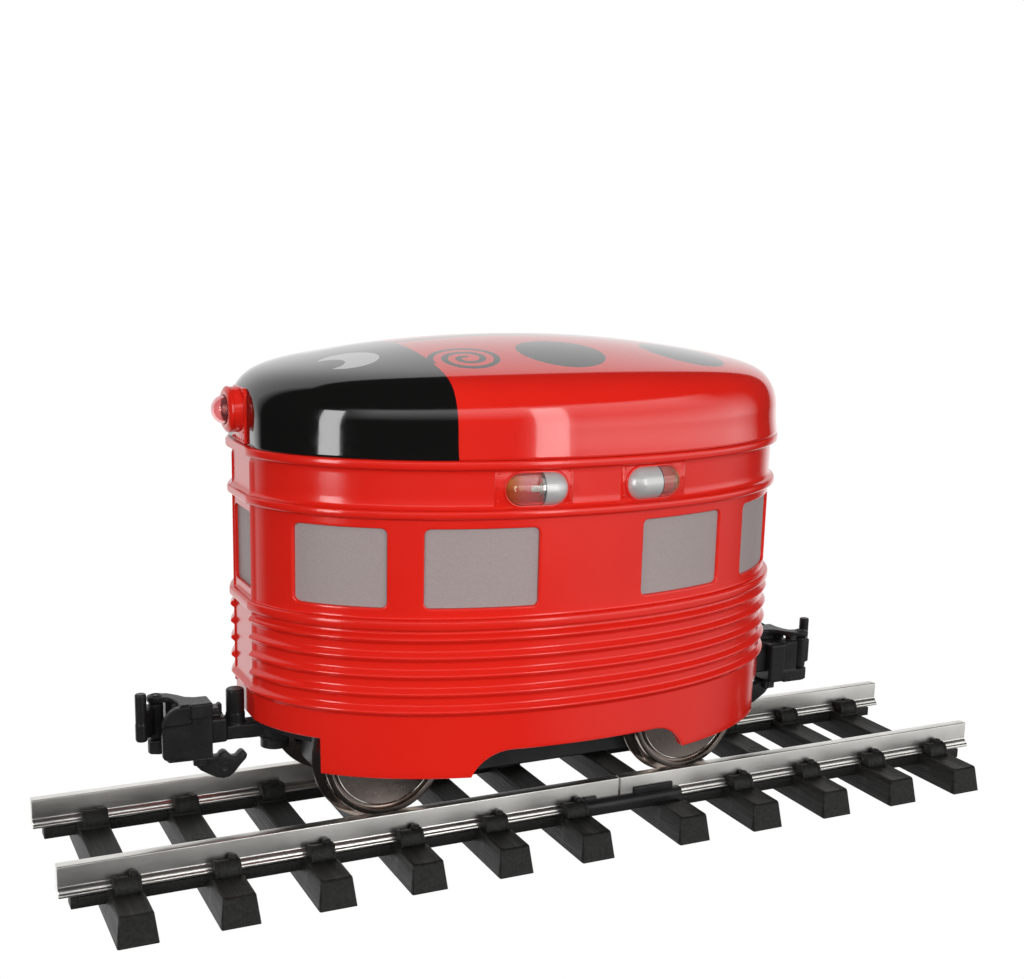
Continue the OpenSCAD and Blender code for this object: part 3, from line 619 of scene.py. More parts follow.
def opening(p, panel):
    """(lower edge, upper edge, is_its_end) of the window at a column, or None where there is none."""
    u = p[1] if panel else p[0]
    for a, b in [DOOR_WINDOW] if panel else SIDE_WINDOWS:
        e = min(u - a + EDGE, b + EDGE - u)
        if e > -1e-6:
            rise = ROUND - math.sqrt(max(0, ROUND * ROUND - max(0, ROUND - e) ** 2))
            return WINDOW_Z[0] - EDGE + rise, WINDOW_Z[1] + EDGE - rise, e < 1e-6
    return None


def body_shell():
    """Ribbed wall with its windows cut through, as an outer and an inner skin."""
    ribs = [(z, None) for z in np.arange(SKIRT_TOP, 74.6, 0.27)]
    lower_rows = ribs + bead_rows(75.4, 78.3, 1.6) + [(BAND_Z[0] - 0.5, 0.0)]
    upper_rows = [(105.0, 0.0)] + bead_rows(105.6, 108.0, 1.8, head=1.4)
    upper_rows += [(z, 0.0) for z in (111, 113, 115, 117)] + bead_rows(118.7, ROOF_Z, 2.05)[:-4]
    skirt_lip = [(0, -0.4), (0.07, -0.2), (0.2, -0.06), (0.4, 0)]
    mid_z = list(np.linspace(*SQUARE_Z, 9))[1:-1]
    cols = shell_columns()
    points, faces, outer, inner = [], [], [], []

    def add(p, n, d, z):
        points.append((*offset_point(p, n, d), z))
        return len(points) - 1

    # Each column has three parts: below the windows, beside them and above them
    for p, n, panel in cols:
        x, y = p
        hole = opening(p, panel)
        z_low, z_high = hole[:2] if hole else SQUARE_Z
        bottom = skirt_bottom(x)
        low = [(bottom + dz, d) for dz, d in skirt_lip]
        low += [(z, 0.0) for z in np.linspace(bottom + 0.4, SKIRT_TOP, 9)[1:-1]]
        low += [(z, stand_out(z, d, x, y, panel)) for z, d in lower_rows]
        low += [(z, stand_out(z, 0, x, y, panel)) for z in np.linspace(BAND_Z[0], z_low, 4)]
        high = [(z, stand_out(z, 0, x, y, panel)) for z in np.linspace(z_high, BAND_Z[1], 4)]
        high += [(z, stand_out(z, d, x, y, panel)) for z, d in upper_rows]
        open_here = hole is not None and not hole[2]
        mid = [] if open_here else [(z, stand_out(z, 0, x, y, panel)) for z in mid_z]
        outer.append([[add(p, n, d, z) for z, d in part] for part in (low, mid, high)])
        low_in = [bottom + 0.4, *np.linspace(bottom + 1, SKIRT_TOP, 3), 60, 70, BAND_Z[0]]
        low_in += list(np.linspace(BAND_Z[0], z_low, 4))[1:]
        high_in = list(np.linspace(z_high, BAND_Z[1], 4)) + [112, ROOF_Z - 0.4, ROOF_Z]
        parts = (low_in, [] if open_here else mid_z, high_in)
        inner.append([[add(p, n, -WALL, z) for z in part] for part in parts])

    count = len(cols)
    for i in range(count):
        j = (i + 1) % count
        for wall in (outer, inner):
            a, b = wall[i], wall[j]
            strips = [(a[0], b[0]), (a[2], b[2])]
            if a[1] and b[1]:
                strips.append(([a[0][-1], *a[1], a[2][0]], [b[0][-1], *b[1], b[2][0]]))
            for left, right in strips:
                for k in range(len(left) - 1):
                    faces.append((left[k], right[k], right[k + 1], left[k + 1]))
        for part, row in ((0, 0), (2, -1)):
            a, b = outer[i][part][row], outer[j][part][row]
            faces.append((a, b, inner[j][part][row], inner[i][part][row]))

    # Rounded lip and straight reveal round each opening
    lip = [(EDGE * math.sin(a), EDGE * (1 - math.cos(a))) for a in np.radians([30, 60, 90])]
    ends = [k for k, (p, _, panel) in enumerate(cols) if (opening(p, panel) or (0, 0, False))[2]]
    for start, end in zip(ends[::2], ends[1::2]):
        ids = range(start, end + 1)
        rings = []
        for wall in (outer, inner):
            ring = [wall[i][0][-1] for i in ids] + list(wall[end][1])
            ring += [wall[i][2][0] for i in ids[::-1]] + list(wall[start][1])[::-1]
            rings.append(ring)
        flat = np.array([points[i] for i in rings[0]])
        panel = cols[start + 1][2]
        u, z = flat[:, 1 if panel else 0], flat[:, 2]
        inward = np.stack([np.clip(w, w.min() + ROUND, w.max() - ROUND) - w for w in (u, z)], 1)
        inward /= np.maximum(np.linalg.norm(inward, axis=1), 1e-9)[:, None]
        side, end_side = math.copysign(1, flat[1, 1]), math.copysign(1, flat[0, 0])
        chain = [rings[0]]
        for t, depth in lip + [(EDGE, WALL - 0.3)]:
            row = []
            for uu, zz, (du, dz) in zip(u, z, inward):
                q, m = on_wall(uu + du * t, side)
                if panel:
                    q, m = np.array([end_side * END_X, uu + du * t]), np.array([end_side, 0])
                row.append(add(q, m, -depth, zz + dz * t))
            chain.append(row)
        chain.append(rings[1])
        for a, b in zip(chain, chain[1:]):
            for i in range(len(a)):
                j = (i + 1) % len(a)
                faces.append((a[i], a[j], b[j], b[i]))
    return Shape().add((points, faces), in_car)


def soft_clip(x, limit, k=0.35):
    """x held inside +-limit with a small rounding."""
    if abs(x) <= limit - 6:
        return x
    return math.copysign(-k * math.log(math.exp(-abs(x) / k) + math.exp(-limit / k)), x)


def oval_ring(a, b, clip, z, count=480):
    """Ring of the body's oval with half sizes a and b, held inside clip along the car."""
    out = []
    for i in range(count):
        t = 2 * math.pi * (i + 0.5) / count
        c, s = math.cos(t), math.sin(t)
        x = a * math.copysign(abs(c) ** (2 / POWER), c)
        y = b * math.copysign(abs(s) ** (2 / POWER), s)
        out.append((soft_clip(x, clip), y, z))
    return out


def roof_shape():
    """Crowned roof: upright foot, rounded shoulder, low crown, hollow inside."""
    straight, corner, crown, wall = 8.0, 10.8, 10.1, 2.2

    def height(r):
        """Height above the foot at a share r of the way out from the middle."""
        return straight + corner * max(0, 1 - r**20) ** (1 / 1.8) + crown * (1 - r * r)

    def outer_ring(rise, share=1, tuck=0):
        g = 2 - 0.95 * (1 - math.exp(-rise / 4.5)) - tuck
        return oval_ring((OVAL_A + g) * share, (OVAL_B + g) * share, END_X, ROOF_Z + rise)

    foot = [(0.03, 0.5), (0.12, 0.18), (0.35, 0)] + [(rise, 0) for rise in np.arange(1, straight, 1.0)]
    rings = [outer_ring(rise, tuck=tuck) for rise, tuck in foot]
    steps = 72
    shares = [math.cos(math.pi / 2 * k / steps) ** 0.4 for k in range(steps)] + [0.16, 0.1, 0.05]
    rings += [outer_ring(height(r), r) for r in shares]
    outside = len(rings)
    for r in (0.05, 0.3, 0.6, 0.8, 0.9, 0.96, 0.99, 1.0):
        z = ROOF_Z + height(r) - wall
        rings.append(oval_ring((OVAL_A - 1) * r, (OVAL_B - 1) * r, END_X - wall, z))
    rings.append(oval_ring(OVAL_A - 0.4, OVAL_B - 0.4, END_X - wall, ROOF_Z + 0.03))
    count = len(rings[0])
    faces = strip_faces(outside, count)
    faces += [tuple(i + outside * count for i in f) for f in strip_faces(len(rings) - outside, count)]
    for first in ((outside - 1) * count, outside * count):
        faces.append(tuple(range(first, first + count)))
    end = (len(rings) - 1) * count
    faces += [(i, (i + 1) % count, end + (i + 1) % count, end + i) for i in range(count)]
    return Shape().add(([p for ring in rings for p in ring], faces), in_car)


def wall_patch(x, z, d, side, step, bevel):
    """Plate that follows the side wall over a span of x and of z, between its two offsets d."""
    (x0, x1), (z0, z1), (d_out, d_in) = x, z, d
    xs = spread(x0, x1, [x0 + bevel, x1 - bevel], step)
    rows = [(z0, d_in), (z0, d_out - bevel), (z0 + bevel, d_out)]
    rows += [(z1 - bevel, d_out), (z1, d_out - bevel), (z1, d_in)]
    points = []
    for z, d in rows:
        for i, x in enumerate(xs):
            drop = bevel if i in (0, len(xs) - 1) and d > d_in else 0
            p, n = on_wall(x, side)
            points.append((*offset_point(p, n, d - drop), z))
    cols = len(xs)
    faces = strip_faces(len(rows), cols, wrap_rows=True, wrap_cols=False)
    for end in (0, cols - 1):
        faces.append(tuple(k * cols + end for k in range(len(rows))))
    return points, faces

PANE_D = -0.9  # outside of each pane, behind the wall's outside
PANE_THICK, PANE_GAP = 0.8, 0.02
pane_z = (WINDOW_Z[0] + PANE_GAP, WINDOW_Z[1] - PANE_GAP)

piece("body_shell_visual", "car", body_shell(), "red", ["body_shell"], "body_red", 42)
piece("roof_visual", "car", roof_shape(), "roof", ["roof"], "roof_paint", 50)
for side, label in SIDES:
    shape = Shape()
    for a, b in SIDE_WINDOWS:
        span = (a + PANE_GAP, b - PANE_GAP)
        shape.add(wall_patch(span, pane_z, (PANE_D, PANE_D - PANE_THICK), side, 1.2, 0.05), in_car)
    piece(f"side_panes_{label}", "car", shape, "pane", [f"side_windows_{label}"], "window_silver", 30)
for end, label in ENDS:
    x = sorted((end * (END_X + PANE_D), end * (END_X + PANE_D - PANE_THICK)))
    pane = block(x, (DOOR_WINDOW[0] + PANE_GAP, DOOR_WINDOW[1] - PANE_GAP), pane_z, 0.05)
    shape = Shape().add(pane, in_car)
    piece(f"door_pane_{label}", "car", shape, "pane", [f"{label}_door_window"], "window_silver")

# ---------------------------------------------------------------- lamps

LAMP_X, LAMP_Z, LAMP_R, LAMP_HALF = 17.8, 113.3, 4.7, 8.9
LAMP_Y = oval_y(LAMP_X) - 0.7
LAMP_TILT = math.radians(-6.4)
STRAIGHT = LAMP_HALF - LAMP_R  # from the lamp's middle to the centre of each ball end
# Where the silver shell meets the clear dome; not quite alike at the two ends of the car
LAMP_SPLIT = {1: -1.3, -1: 0.9}


def rivet(p, n, r, high):
    """Low round head on a vertical wall, at point p (x, y, z) facing n (x, y)."""
    rings = [(r * 1.02, -0.25), (r, 0.0), (r * 0.85, high * 0.6), (r * 0.45, high * 0.92), (0.02, high)]
    points, faces = revolve(rings, 12)
    return [(p[0] - n[1] * u + n[0] * w, p[1] + n[0] * u + n[1] * w, p[2] + v) for u, v, w in points], faces


def lamp_place(end, side):
    """Local lamp axes (Z outward along the car) to the car's place."""
    c, s = math.cos(LAMP_TILT), math.sin(LAMP_TILT)

    def place(p):
        up, out, along = p[:, 0], p[:, 1], p[:, 2]
        x = LAMP_X + along * c - out * s
        y = LAMP_Y + along * s + out * c
        return in_car(np.stack([end * x, side * y, LAMP_Z + up], 1))

    return place


def ball_end(r, z0, tall, steps=14):
    """Quarter-oval outline from the rim at (r, z0) to the pole, which is tall away."""
    return [(r * math.cos(a), z0 + tall * math.sin(a)) for a in np.linspace(0, math.pi / 2 - 0.01, steps)]


def lamp_profiles(split):
    """Outlines of one lamp round its long axis, by piece; the shell meets the dome at split."""
    r = LAMP_R
    dome = [(r - 0.05, split + 0.12)] + ball_end(r - 0.05, STRAIGHT, r - 0.05)
    inside = [(a * 0.86, STRAIGHT + (z - STRAIGHT) * 0.86 if z > STRAIGHT else z) for a, z in dome][::-1]
    shell_rim = [(r - 0.03, -0.15), (r - 0.2, -0.05), (0.02, -0.05)]
    seam = [(r - 0.6, -0.04), (r - 0.10, -0.04), (r - 0.04, 0), (r - 0.04, 0.1), (r - 0.6, 0.1)]
    tip = [(1.25 * math.sin(a), 2.2 + 1.25 * math.cos(a)) for a in np.radians([1, 20, 40, 65, 90])]
    cup = [(r - 0.9, 0.15), (r - 0.9, 0.5), (r - 1.1, 0.6), (2.3, 0.3), (2.3, 0.15)]
    return {
        "lamp_shells": ball_end(r - 0.03, -STRAIGHT, 0.03 - r)[::-1] + raised(shell_rim, split),
        "lamp_seams": raised(seam, split),
        "lamp_domes": dome + inside,
        "lamp_lights": raised(tip + [(1.25, 0.6), (1.8, 0.5), (1.8, 0.15), (0.02, 0.15)], split),
        "lamp_cups": raised(cup, split),
    }


def reflector(split):
    """Silver plate behind the bulb, shaped like the dome's outline."""
    r = LAMP_R - 0.9
    bow = [(r * math.cos(a), STRAIGHT + r * math.sin(a)) for a in np.linspace(0, math.pi, 25)]
    return slab([(r, split + 0.15), *bow, (-r, split + 0.15)], -1.9, -1.5, "y", 0.1)


def bezel(end, side):
    """One lamp's riveted plate, with a raised rim where the capsule comes through the wall."""
    x = sorted((end * 7.4, end * 29.4))
    parts = [wall_patch(x, (108.5, 118.5), (0.2, -0.3), side, 0.9, 0.08)]
    rim, half_h, steps = [], 4.62, 72
    for k in range(steps):
        t = 2 * math.pi * k / steps
        x = math.copysign(STRAIGHT, math.cos(t)) + half_h * math.cos(t) + LAMP_X
        p, n = on_wall(end * x, side)
        rim.append((*(p + n * 0.30), LAMP_Z + half_h * math.sin(t)))
    parts.append(loop_tube(rim, 0.42))
    spots = [(8.6 + 4.9 * k, 117.7) for k in range(5)]
    spots += [(x, z) for x in (8.3, 28.5) for z in (110.2, 113.8)]
    for x, z in spots:
        p, n = on_wall(end * x, side)
        parts.append(rivet((*(p + n * 0.2), z), n, 0.36, 0.28))
    return parts

# Material, replaced nodes, slot, and whether the outline closes on itself
LAMP_PIECES = {
    "lamp_shells": ("lamp", ["lamp_housings"], "lamp_silver", False),
    "lamp_seams": ("black", [], "plastic_black", True),
    "lamp_domes": ("lens", ["lamp_lenses"], "lens_clear", True),
    "lamp_lights": ("led", ["lamp_leds"], "led", False),
    "lamp_cups": ("bright", [], "lamp_silver", True),
}
lamp_spots = [(end, side) for end in (1, -1) for side in (1, -1)]
for name, (material, nodes, slot, ring) in LAMP_PIECES.items():
    shape = Shape()
    for end, side in lamp_spots:
        shape.add(revolve(lamp_profiles(LAMP_SPLIT[end])[name], 48, ring), lamp_place(end, side))
    piece(name, "car", shape, material, nodes, slot)
shape = Shape()
for end, side in lamp_spots:
    shape.add(reflector(LAMP_SPLIT[end]), lamp_place(end, side))
piece("lamp_reflectors", "car", shape, "lamp", [], "lamp_silver")
shape = Shape()
for end, side in lamp_spots:
    for part in bezel(end, side):
        shape.add(part, in_car)
piece("lamp_bezel_plates", "car", shape, "red", ["lamp_bezels"], "body_red", 45)

# ---------------------------------------------------------------- headlight

HEAD_Z = 130.4


def facing_front(p):
    """Local Z becomes the car's forward direction, from the front panel at the headlight."""
    return in_car(np.stack([END_X + p[:, 2], p[:, 1], HEAD_Z + p[:, 0]], 1))

PLATE_FRONT = END_X + 0.8
half_plate = [(6.3, ROOF_Z + 0.15), (6.3, 134.9), (5.8, 136.0), (4.7, 136.6)]
plate = half_plate + [(-y, z) for y, z in half_plate[::-1]]
barrel = [(4.15, 0.6), (6.1, 0.6), (6.35, 0.9), (6.35, 1.5), (6.2, 1.75), (6.15, 3.2), (6.35, 3.4),
          (6.35, 3.9), (6.1, 4.2), (5.5, 4.6), (4.8, 4.75), (4.15, 4.6)]
shape = Shape().add(slab(plate, END_X - 0.3, PLATE_FRONT, "x", 0.2), in_car)
shape.add(revolve(barrel, 64, ring=True), facing_front)
rivets = [(y, 122.3) for y in np.linspace(-5.4, 5.4, 6)]
rivets += [(y, z) for z in (124.6, 126.9, 135.4) for y in (-5.4, 5.4)]
for y, z in rivets:
    shape.add(rivet((PLATE_FRONT, y, z), (1.0, 0.0), 0.34, 0.24), in_car)
piece("headlight_mount", "car", shape, "red", ["headlight_housing"], "body_red")

dome = [(4.0, 1.2)] + ball_end(4.0, 4.4, 3.8)
dome += ([(3.3, 1.2)] + ball_end(3.3, 4.4, 3.1))[::-1]
shape = Shape().add(revolve(dome, 48, ring=True), facing_front)
piece("headlight_dome_lens", "car", shape, "dome", ["headlight_lens"], "lens_clear")
tip = [(1.5 * math.sin(a), 3.7 + 1.6 * math.cos(a)) for a in np.radians([20, 45, 70, 90])]
shape = Shape().add(revolve([(0.02, 5.4), *tip, (1.5, 0.4), (0.02, 0.4)], 32), facing_front)
piece("headlight_bulb", "car", shape, "led", ["headlight_led"], "led")

# ---------------------------------------------------------------- track

TIE_PITCH = 26.7
TIE_TO_END = 16.65  # from the last tie's middle to the end of its track section
FIRST_TIE = (TIE_PITCH * 9 + 4 * TIE_TO_END) / 2 - TIE_TO_END
FRONT_TIES = [FIRST_TIE - TIE_PITCH * i for i in range(6)]
REAR_TIES = [-FIRST_TIE + TIE_PITCH * i for i in range(5)]
BARE_TIE = REAR_TIES[-1]  # under the joiners, so it has no chairs


def rail_profile():
    """Half section of a rail: (distance from its middle, height)."""
    lip = [(3.12, 0), (3.28, 0.15), (3.35, 0.45), (3.30, 0.75), (3.12, 0.98)]
    groove = [(2.88, 1.08), (2.72, 1.04), (2.64, 1.14)]
    slope = [(2.58, 1.34), (2.44, 1.62), (2.20, 1.90), (1.93, 2.12), (1.72, 2.30)]
    web, r = [(1.61, 2.5), (1.6, 2.7)], 0.32
    head = [(1.6 - r + r * math.cos(a), r * math.sin(a) - r) for a in np.radians([0, 22, 45, 67, 90])]
    return raised(lip + groove + slope + web, RAIL_SEAT) + raised(head, RAIL_TOP)


def rail_piece(name, side):
    """One rail, with its ends eased a little."""
    x0, x1 = (corner[0] for corner in box_mm(name))
    half = rail_profile()
    section = half + [(-y, z) for y, z in half[::-1]]
    ease = 0.12
    stations = [(x0, ease)] + [(x, 0) for x in spread(x0 + 0.15, x1 - 0.15, [], 6)] + [(x1, ease)]
    points = []
    for x, tuck in stations:
        for y, z in section:
            height = RAIL_SEAT + tuck + (z - RAIL_SEAT) * (1 - tuck / 4)
            points.append((x, side * RAIL_Y + y * (1 - tuck / 2), height))
    shape = Shape().add((points, capped_faces(len(stations), len(section))))
    piece(f"{name}_visual", "track", shape, "rail", [name], "rail_steel", 30)


def tie_body(x):
    """Trapezium tie with a sunken top, raised outer thirds, rounded arrises and sloping ends."""
    wide, top, low_h, high_h, ramp_y = 5.4, 4.3, 7.0, 8.2, 31.6
    marks = [TIE_HALF - v for v in (0.25, 0.7, 1.4)] + [ramp_y + 0.6 * k for k in range(4)]
    ys = spread(-TIE_HALF, TIE_HALF, [sign * v for v in marks for sign in (1, -1)], 2.5)
    points = []
    for y in ys:
        tip = TIE_HALF - abs(y)
        drop = 0.5 * max(0.0, 1 - tip / 0.7) ** 1.6
        squeeze = 0.3 * max(0.0, 1 - tip / 0.4)
        sunk = 0.22 * min(1.0, tip / 1.4)
        rise = min(1.0, max(0.0, (abs(y) - ramp_y) / 1.8))
        h = low_h + (high_h - low_h) * rise * rise * (3 - 2 * rise) - drop
        edge = [(0.2, h - 0.5), (0.08, h - 0.2), (-0.14, h - 0.04), (-0.5, h), (-1.05, h - sunk)]
        half = [(wide - squeeze, 0.0), (wide - squeeze - 0.02, 0.3)]
        half += [(top + u - squeeze, z) for u, z in edge]
        section = half + [(0.0, h - sunk)] + [(-u, z) for u, z in half[::-1]]
        points += [(x + u, y * (1 - 0.03 * z / high_h), z) for u, z in section]
    return points, capped_faces(len(ys), len(section))


def chair(x, side, away):
    """Drum-like clip over the rail foot, with a bolt head; away is +1 on the rail's outer side."""
    y0, s = side * RAIL_Y, side * away

    def across(outline, x0, x1, bevel):
        return slab([(y0 + s * u, RAIL_SEAT + z) for u, z in outline], x0, x1, "x", bevel)

    def swollen(u, z):
        """Point of the drum moved out to its rim."""
        return (u, z) if u <= 2.2 else (4.4 + (u - 4.4) * 1.07, z + 0.22 if z > 1.0 else z)

    drum = [(1.68, 2.75), (1.9, 2.8), (2.7, 3.35), (3.5, 3.72), (4.3, 3.85), (5.0, 3.75), (5.8, 3.3),
            (6.4, 2.6), (6.85, 1.6), (7.0, 0.6), (7.0, -0.4), (3.4, -0.4), (3.4, 0.9), (2.95, 1.25),
            (2.4, 1.95), (1.68, 2.45)]
    rim = [swollen(u, z) for u, z in drum[1:11]] + [(3.5, -0.4), (3.5, 1.4)]
    if away > 0:
        bolt = [(0.02, 0), (1.15, 0), (1.3, 0.25), (1.3, 0.95), (1.1, 1.25), (0.5, 1.4), (0.02, 1.42)]
    else:
        bolt = [(0.02, 0), (1.15, 0), (1.25, 0.2), (1.25, 0.6), (0.02, 0.65)]
    bolt = revolve(raised(bolt, RAIL_SEAT + 3.3), 24, at=(x - 2.6, y0 + s * 3.3))
    return [
        across(drum, x - 3.9, x + 2.7, 0.22), across(rim, x + 2.2, x + 3.0, 0.12),
        across(rim, x - 4.2, x - 3.4, 0.12), bolt,
    ]


def tie_strip(name, positions, x0, x1, holed):
    """Ties joined by a bar under each rail; the tie at holed has a screw hole."""
    shape = Shape()
    for x in positions:
        shape.add(tie_body(x))
        if x == BARE_TIE:
            continue
        for side in (1, -1):
            y0 = side * RAIL_Y
            shape.add(block((x - 4.4, x + 4.2), (y0 - 7.6, y0 + 7.6), (6.5, RAIL_SEAT), 0.2))
            for away in (1, -1):
                for part in chair(x, side, away):
                    shape.add(part)
    for y0 in (RAIL_Y, -RAIL_Y):
        shape.add(block((x0, x1), (y0 - 2.4, y0 + 2.4), (3.7, 6.9), 0.2))
    # Screw hole: a short countersunk sleeve set in the top of the tie
    sleeve = [(1.25, 3.0), (1.25, 6.5), (1.6, 6.86), (2.1, 6.93), (2.35, 6.84), (2.35, 3.0)]
    shape.add(revolve(sleeve, 40, ring=True, at=(holed, 0)))
    piece(f"{name}_visual", "track", shape, "tie", [name], "tie_black", 30)


def joiners():
    """Moulded sleeve over each rail joint, with its lips above the foot."""
    x0, x1 = (corner[0] for corner in box_mm("rail_joiners"))
    wrap = [(3.42, 5.9), (4.0, 5.7), (4.25, 6.2), (4.3, 8.0), (4.2, 8.8), (3.9, 9.5), (3.3, 10.0), (2.5, 10.25),
            (1.68, 10.3), (1.68, 9.95), (2.3, 9.5), (2.75, 9.0), (3.42, 8.5)]
    nose = [(3.8, 6.1), (4.3, 6.8), (4.3, 7.6), (3.5, 7.6), (3.5, 6.2)]
    long_lip = [(1.66, 9.9), (2.5, 10.1), (2.45, 11.9), (2.2, 12.2), (1.66, 12.2)]
    short_lip = [(1.66, 9.9), (2.9, 10.1), (2.8, 11.4), (1.66, 11.5)]
    shape = Shape()
    for side in (1, -1):
        for outline, away, start, stop, bevel in (
            (wrap, 1, x0 + 0.3, x1, 0.25),
            (wrap, -1, x0 + 0.3, x1, 0.25),
            (nose, 1, x0, x0 + 6, 0.2),
            (long_lip, 1, -33.3, -19.5, 0.15),
            (short_lip, 1, x1 - 4.6, x1 - 0.4, 0.15),
        ):
            across = [(side * (RAIL_Y + away * u), z) for u, z in outline]
            shape.add(slab(across, start, stop, "x", bevel))
    return shape

for side, label in SIDES:
    for _, end_label in ENDS:
        rail_piece(f"rail_{label}_{end_label}", side)
front_x1 = box_mm("tie_strip_front")[1][0] - 0.05
rear_x0 = box_mm("tie_strip_rear")[0][0] + 0.05
tie_strip("tie_strip_front", FRONT_TIES, FRONT_TIES[-1] - 4, front_x1, FRONT_TIES[1])
tie_strip("tie_strip_rear", REAR_TIES, rear_x0, BARE_TIE + 4, REAR_TIES[2])
piece("rail_joiners_visual", "track", joiners(), "black", ["rail_joiners"], "tie_black")

# ---------------------------------------------------------------- wheels


def along_y(x, sign):
    """Local Z becomes sign x Y at the axle at x."""
    return lambda p: in_car(np.stack([x + p[:, 0], sign * p[:, 2], AXLE_Z + p[:, 1]], 1))

# Outlines of (radius, distance from the car's middle plane); some are measured from the outer face
flange = [(9.0, 20.3), (19.9, 20.3), (20.35, 20.45), (20.55, 20.75), (20.5, 21.0), (20.1, 21.25), (19.2, 21.45),
          (18.45, 21.6), (18.12, 21.9), (18.02, 22.4)]
tread_face = [(18.0, -0.2), (17.93, -0.06), (17.8, 0), (16.42, 0), (16.3, -0.08), (16.25, -0.25), (16.23, -1.5),
              (14.9, -1.6), (14.4, -1.6), (13.4, -1.75), (12.4, -2.0), (11.2, -2.3), (10.0, -2.5), (9.0, -2.7)]
tyre = flange + raised(tread_face, WHEEL_FACE)
bright_ring = raised([(15.3, -1.58), (15.3, -0.45), (15.2, -0.26), (15.05, -0.22), (14.92, -0.3), (14.85, -0.5),
                      (14.85, -1.58)], WHEEL_FACE)
DISH_R = 14.84
bowl = [(r, -0.5 - 1.2 * (1 - (r / DISH_R) ** 2)) for r in (DISH_R, *np.linspace(14.5, 5.2, 14))]
boss = [(4.6, -2.0), (4.2, -1.2), (3.6, -1.0), (2.3, -0.95), (2.0, -1.4)]
dish = raised(bowl + boss, WHEEL_FACE) + [(2.0, 21.0), (DISH_R, 21.0)]
hub = [(2.02, 18.7), (5.0, 18.7), (5.0, 20.5), (2.02, 20.5)]
# Dishes and rings take the wheel nickel painted darker and lighter: painted shade in the hollow dish, painted
# highlight on the edge ring
for end, label in ENDS:
    for name, material, outlines, nodes in (
        ("tyres", "wheel", ((tyre, 144),), [f"{label}_wheels"]),
        ("dishes", "dish", ((dish, 96), (hub, 48)), []),
        ("rings", "bright", ((bright_ring, 144),), []),
    ):
        shape = Shape()
        for sign in (1, -1):
            for outline, steps in outlines:
                shape.add(revolve(outline, steps, ring=True), along_y(end * AXLE_X, sign))
        piece(f"{label}_wheel_{name}", f"{label}_wheelset", shape, material, nodes, "wheel_metal", 32)

# ---------------------------------------------------------------- couplers

PIN = (108.2, -4.6)  # knuckle pin, in the front coupler's own place
VOXEL = 0.22


def moulded(name, body, parts, place):
    """Joins rough solids into one softly rounded moulding that replaces the node of this name."""
    shape = Shape()
    for part in parts:
        shape.add(part, place)
    obj = piece(f"{name}_moulding", body, shape, "coupler", [name], "plastic_black")
    remesh = obj.modifiers.new("fuse", "REMESH")
    remesh.mode = "VOXEL"
    remesh.voxel_size = VOXEL * MM
    ease = obj.modifiers.new("ease", "SMOOTH")
    ease.factor, ease.iterations = 0.5, 4
    bpy.context.view_layer.update()
    fused = bpy.data.meshes.new_from_object(obj.evaluated_get(bpy.context.evaluated_depsgraph_get()))
    obj.modifiers.clear()
    obj.data = fused
    fused.materials.clear()
    fused.materials.append(MAT["coupler"])
    fused.shade_smooth()


def upright(cx, cy, r, z0, z1, cap=0.25):
    """Round post with eased ends, about a vertical line."""
    profile = [(0.02, z0), (r - cap, z0), (r, z0 + cap), (r, z1 - cap), (r - cap, z1), (0.02, z1)]
    return revolve(profile, 40, at=(cx, cy))


def round_pin(points):
    """Outline given from the knuckle pin's middle."""
    return [(PIN[0] + u, PIN[1] + v) for u, v in points]


def head_parts():
    """Solids of the coupler head: back block, jaw walls, top cap, guard arm, side block and ears."""
    near_wall = [(94.8, 32.7), (100.0, 33.4), (108.2, 33.6), (108.9, 34.4), (108.9, 43.4), (108.6, 44.9),
                 (107.9, 46.3), (106.6, 47.8), (105.0, 48.7), (102.5, 48.9), (94.8, 48.9)]
    guard = [(100.8, 43.8), (100.8, 48.9), (102.0, 48.9), (104.9, 48.7), (106.7, 47.8), (108.1, 46.4),
             (108.9, 45.0), (109.2, 43.9), (108.3, 43.6)]
    cap = [(94.8, 0.4), (98.4, 0.2), (100.6, -0.9), (102.4, -3.6), (104.6, -6.0), (107.4, -7.1), (109.9, -6.4),
           (110.8, -4.6), (109.9, -2.8), (108.0, -2.2), (105.6, -1.6), (104.6, 0.2), (103.9, 3.2), (103.8, 6.9),
           (94.8, 6.9)]
    jaw_floor = [(100.5, -7.0), (104.0, -7.2), (106.5, -5.6), (107.6, 4.6), (107.2, 6.4), (100.5, 6.8)]
    lug = round_pin([(-7.7, -2.5), (0, -2.5), (2.2, -1.5), (2.6, 0), (2.2, 1.5), (0, 2.5), (-7.7, 2.5)])
    return [
        block((94.8, 101.1), (0.3, 6.9), (32.6, 48.9), 0.5),
        block((94.8, 101.1), (-7.0, 1.0), (32.6, 46.2), 0.8),
        slab(near_wall, 5.0, 6.9, "y", 0.35),
        # Far wall of the jaw and the knob inside it
        block((100.8, 104.0), (-6.9, -1.7), (33.4, 46.6), 0.4),
        block((100.8, 105.7), (-6.9, -3.0), (36.0, 46.6), 0.4),
        block((103.0, 105.7), (-6.2, -3.0), (45.0, 48.2), 0.4),
        upright(103.4, 1.6, 1.5, 44.6, 48.0),
        slab(jaw_floor, 32.6, 34.2, "z", 0.3),
        slab(cap, 47.7, 49.3, "z", 0.35),
        slab(guard, 5.5, 7.55, "y", 0.22),
        block((95.1, 101.2), (6.5, 8.8), (45.4, 49.7), 0.3),
        # Ears round the pin
        slab(lug, 32.4, 36.6, "z", 0.35),
        upright(*PIN, 2.55, 47.6, 49.35),
        # Lugs of the release lever
        block((95.6, 99.6), (1.95, 3.5), (29.6, 33.2), 0.3),
        block((95.6, 99.6), (-3.5, -1.95), (29.6, 33.2), 0.3),
    ]


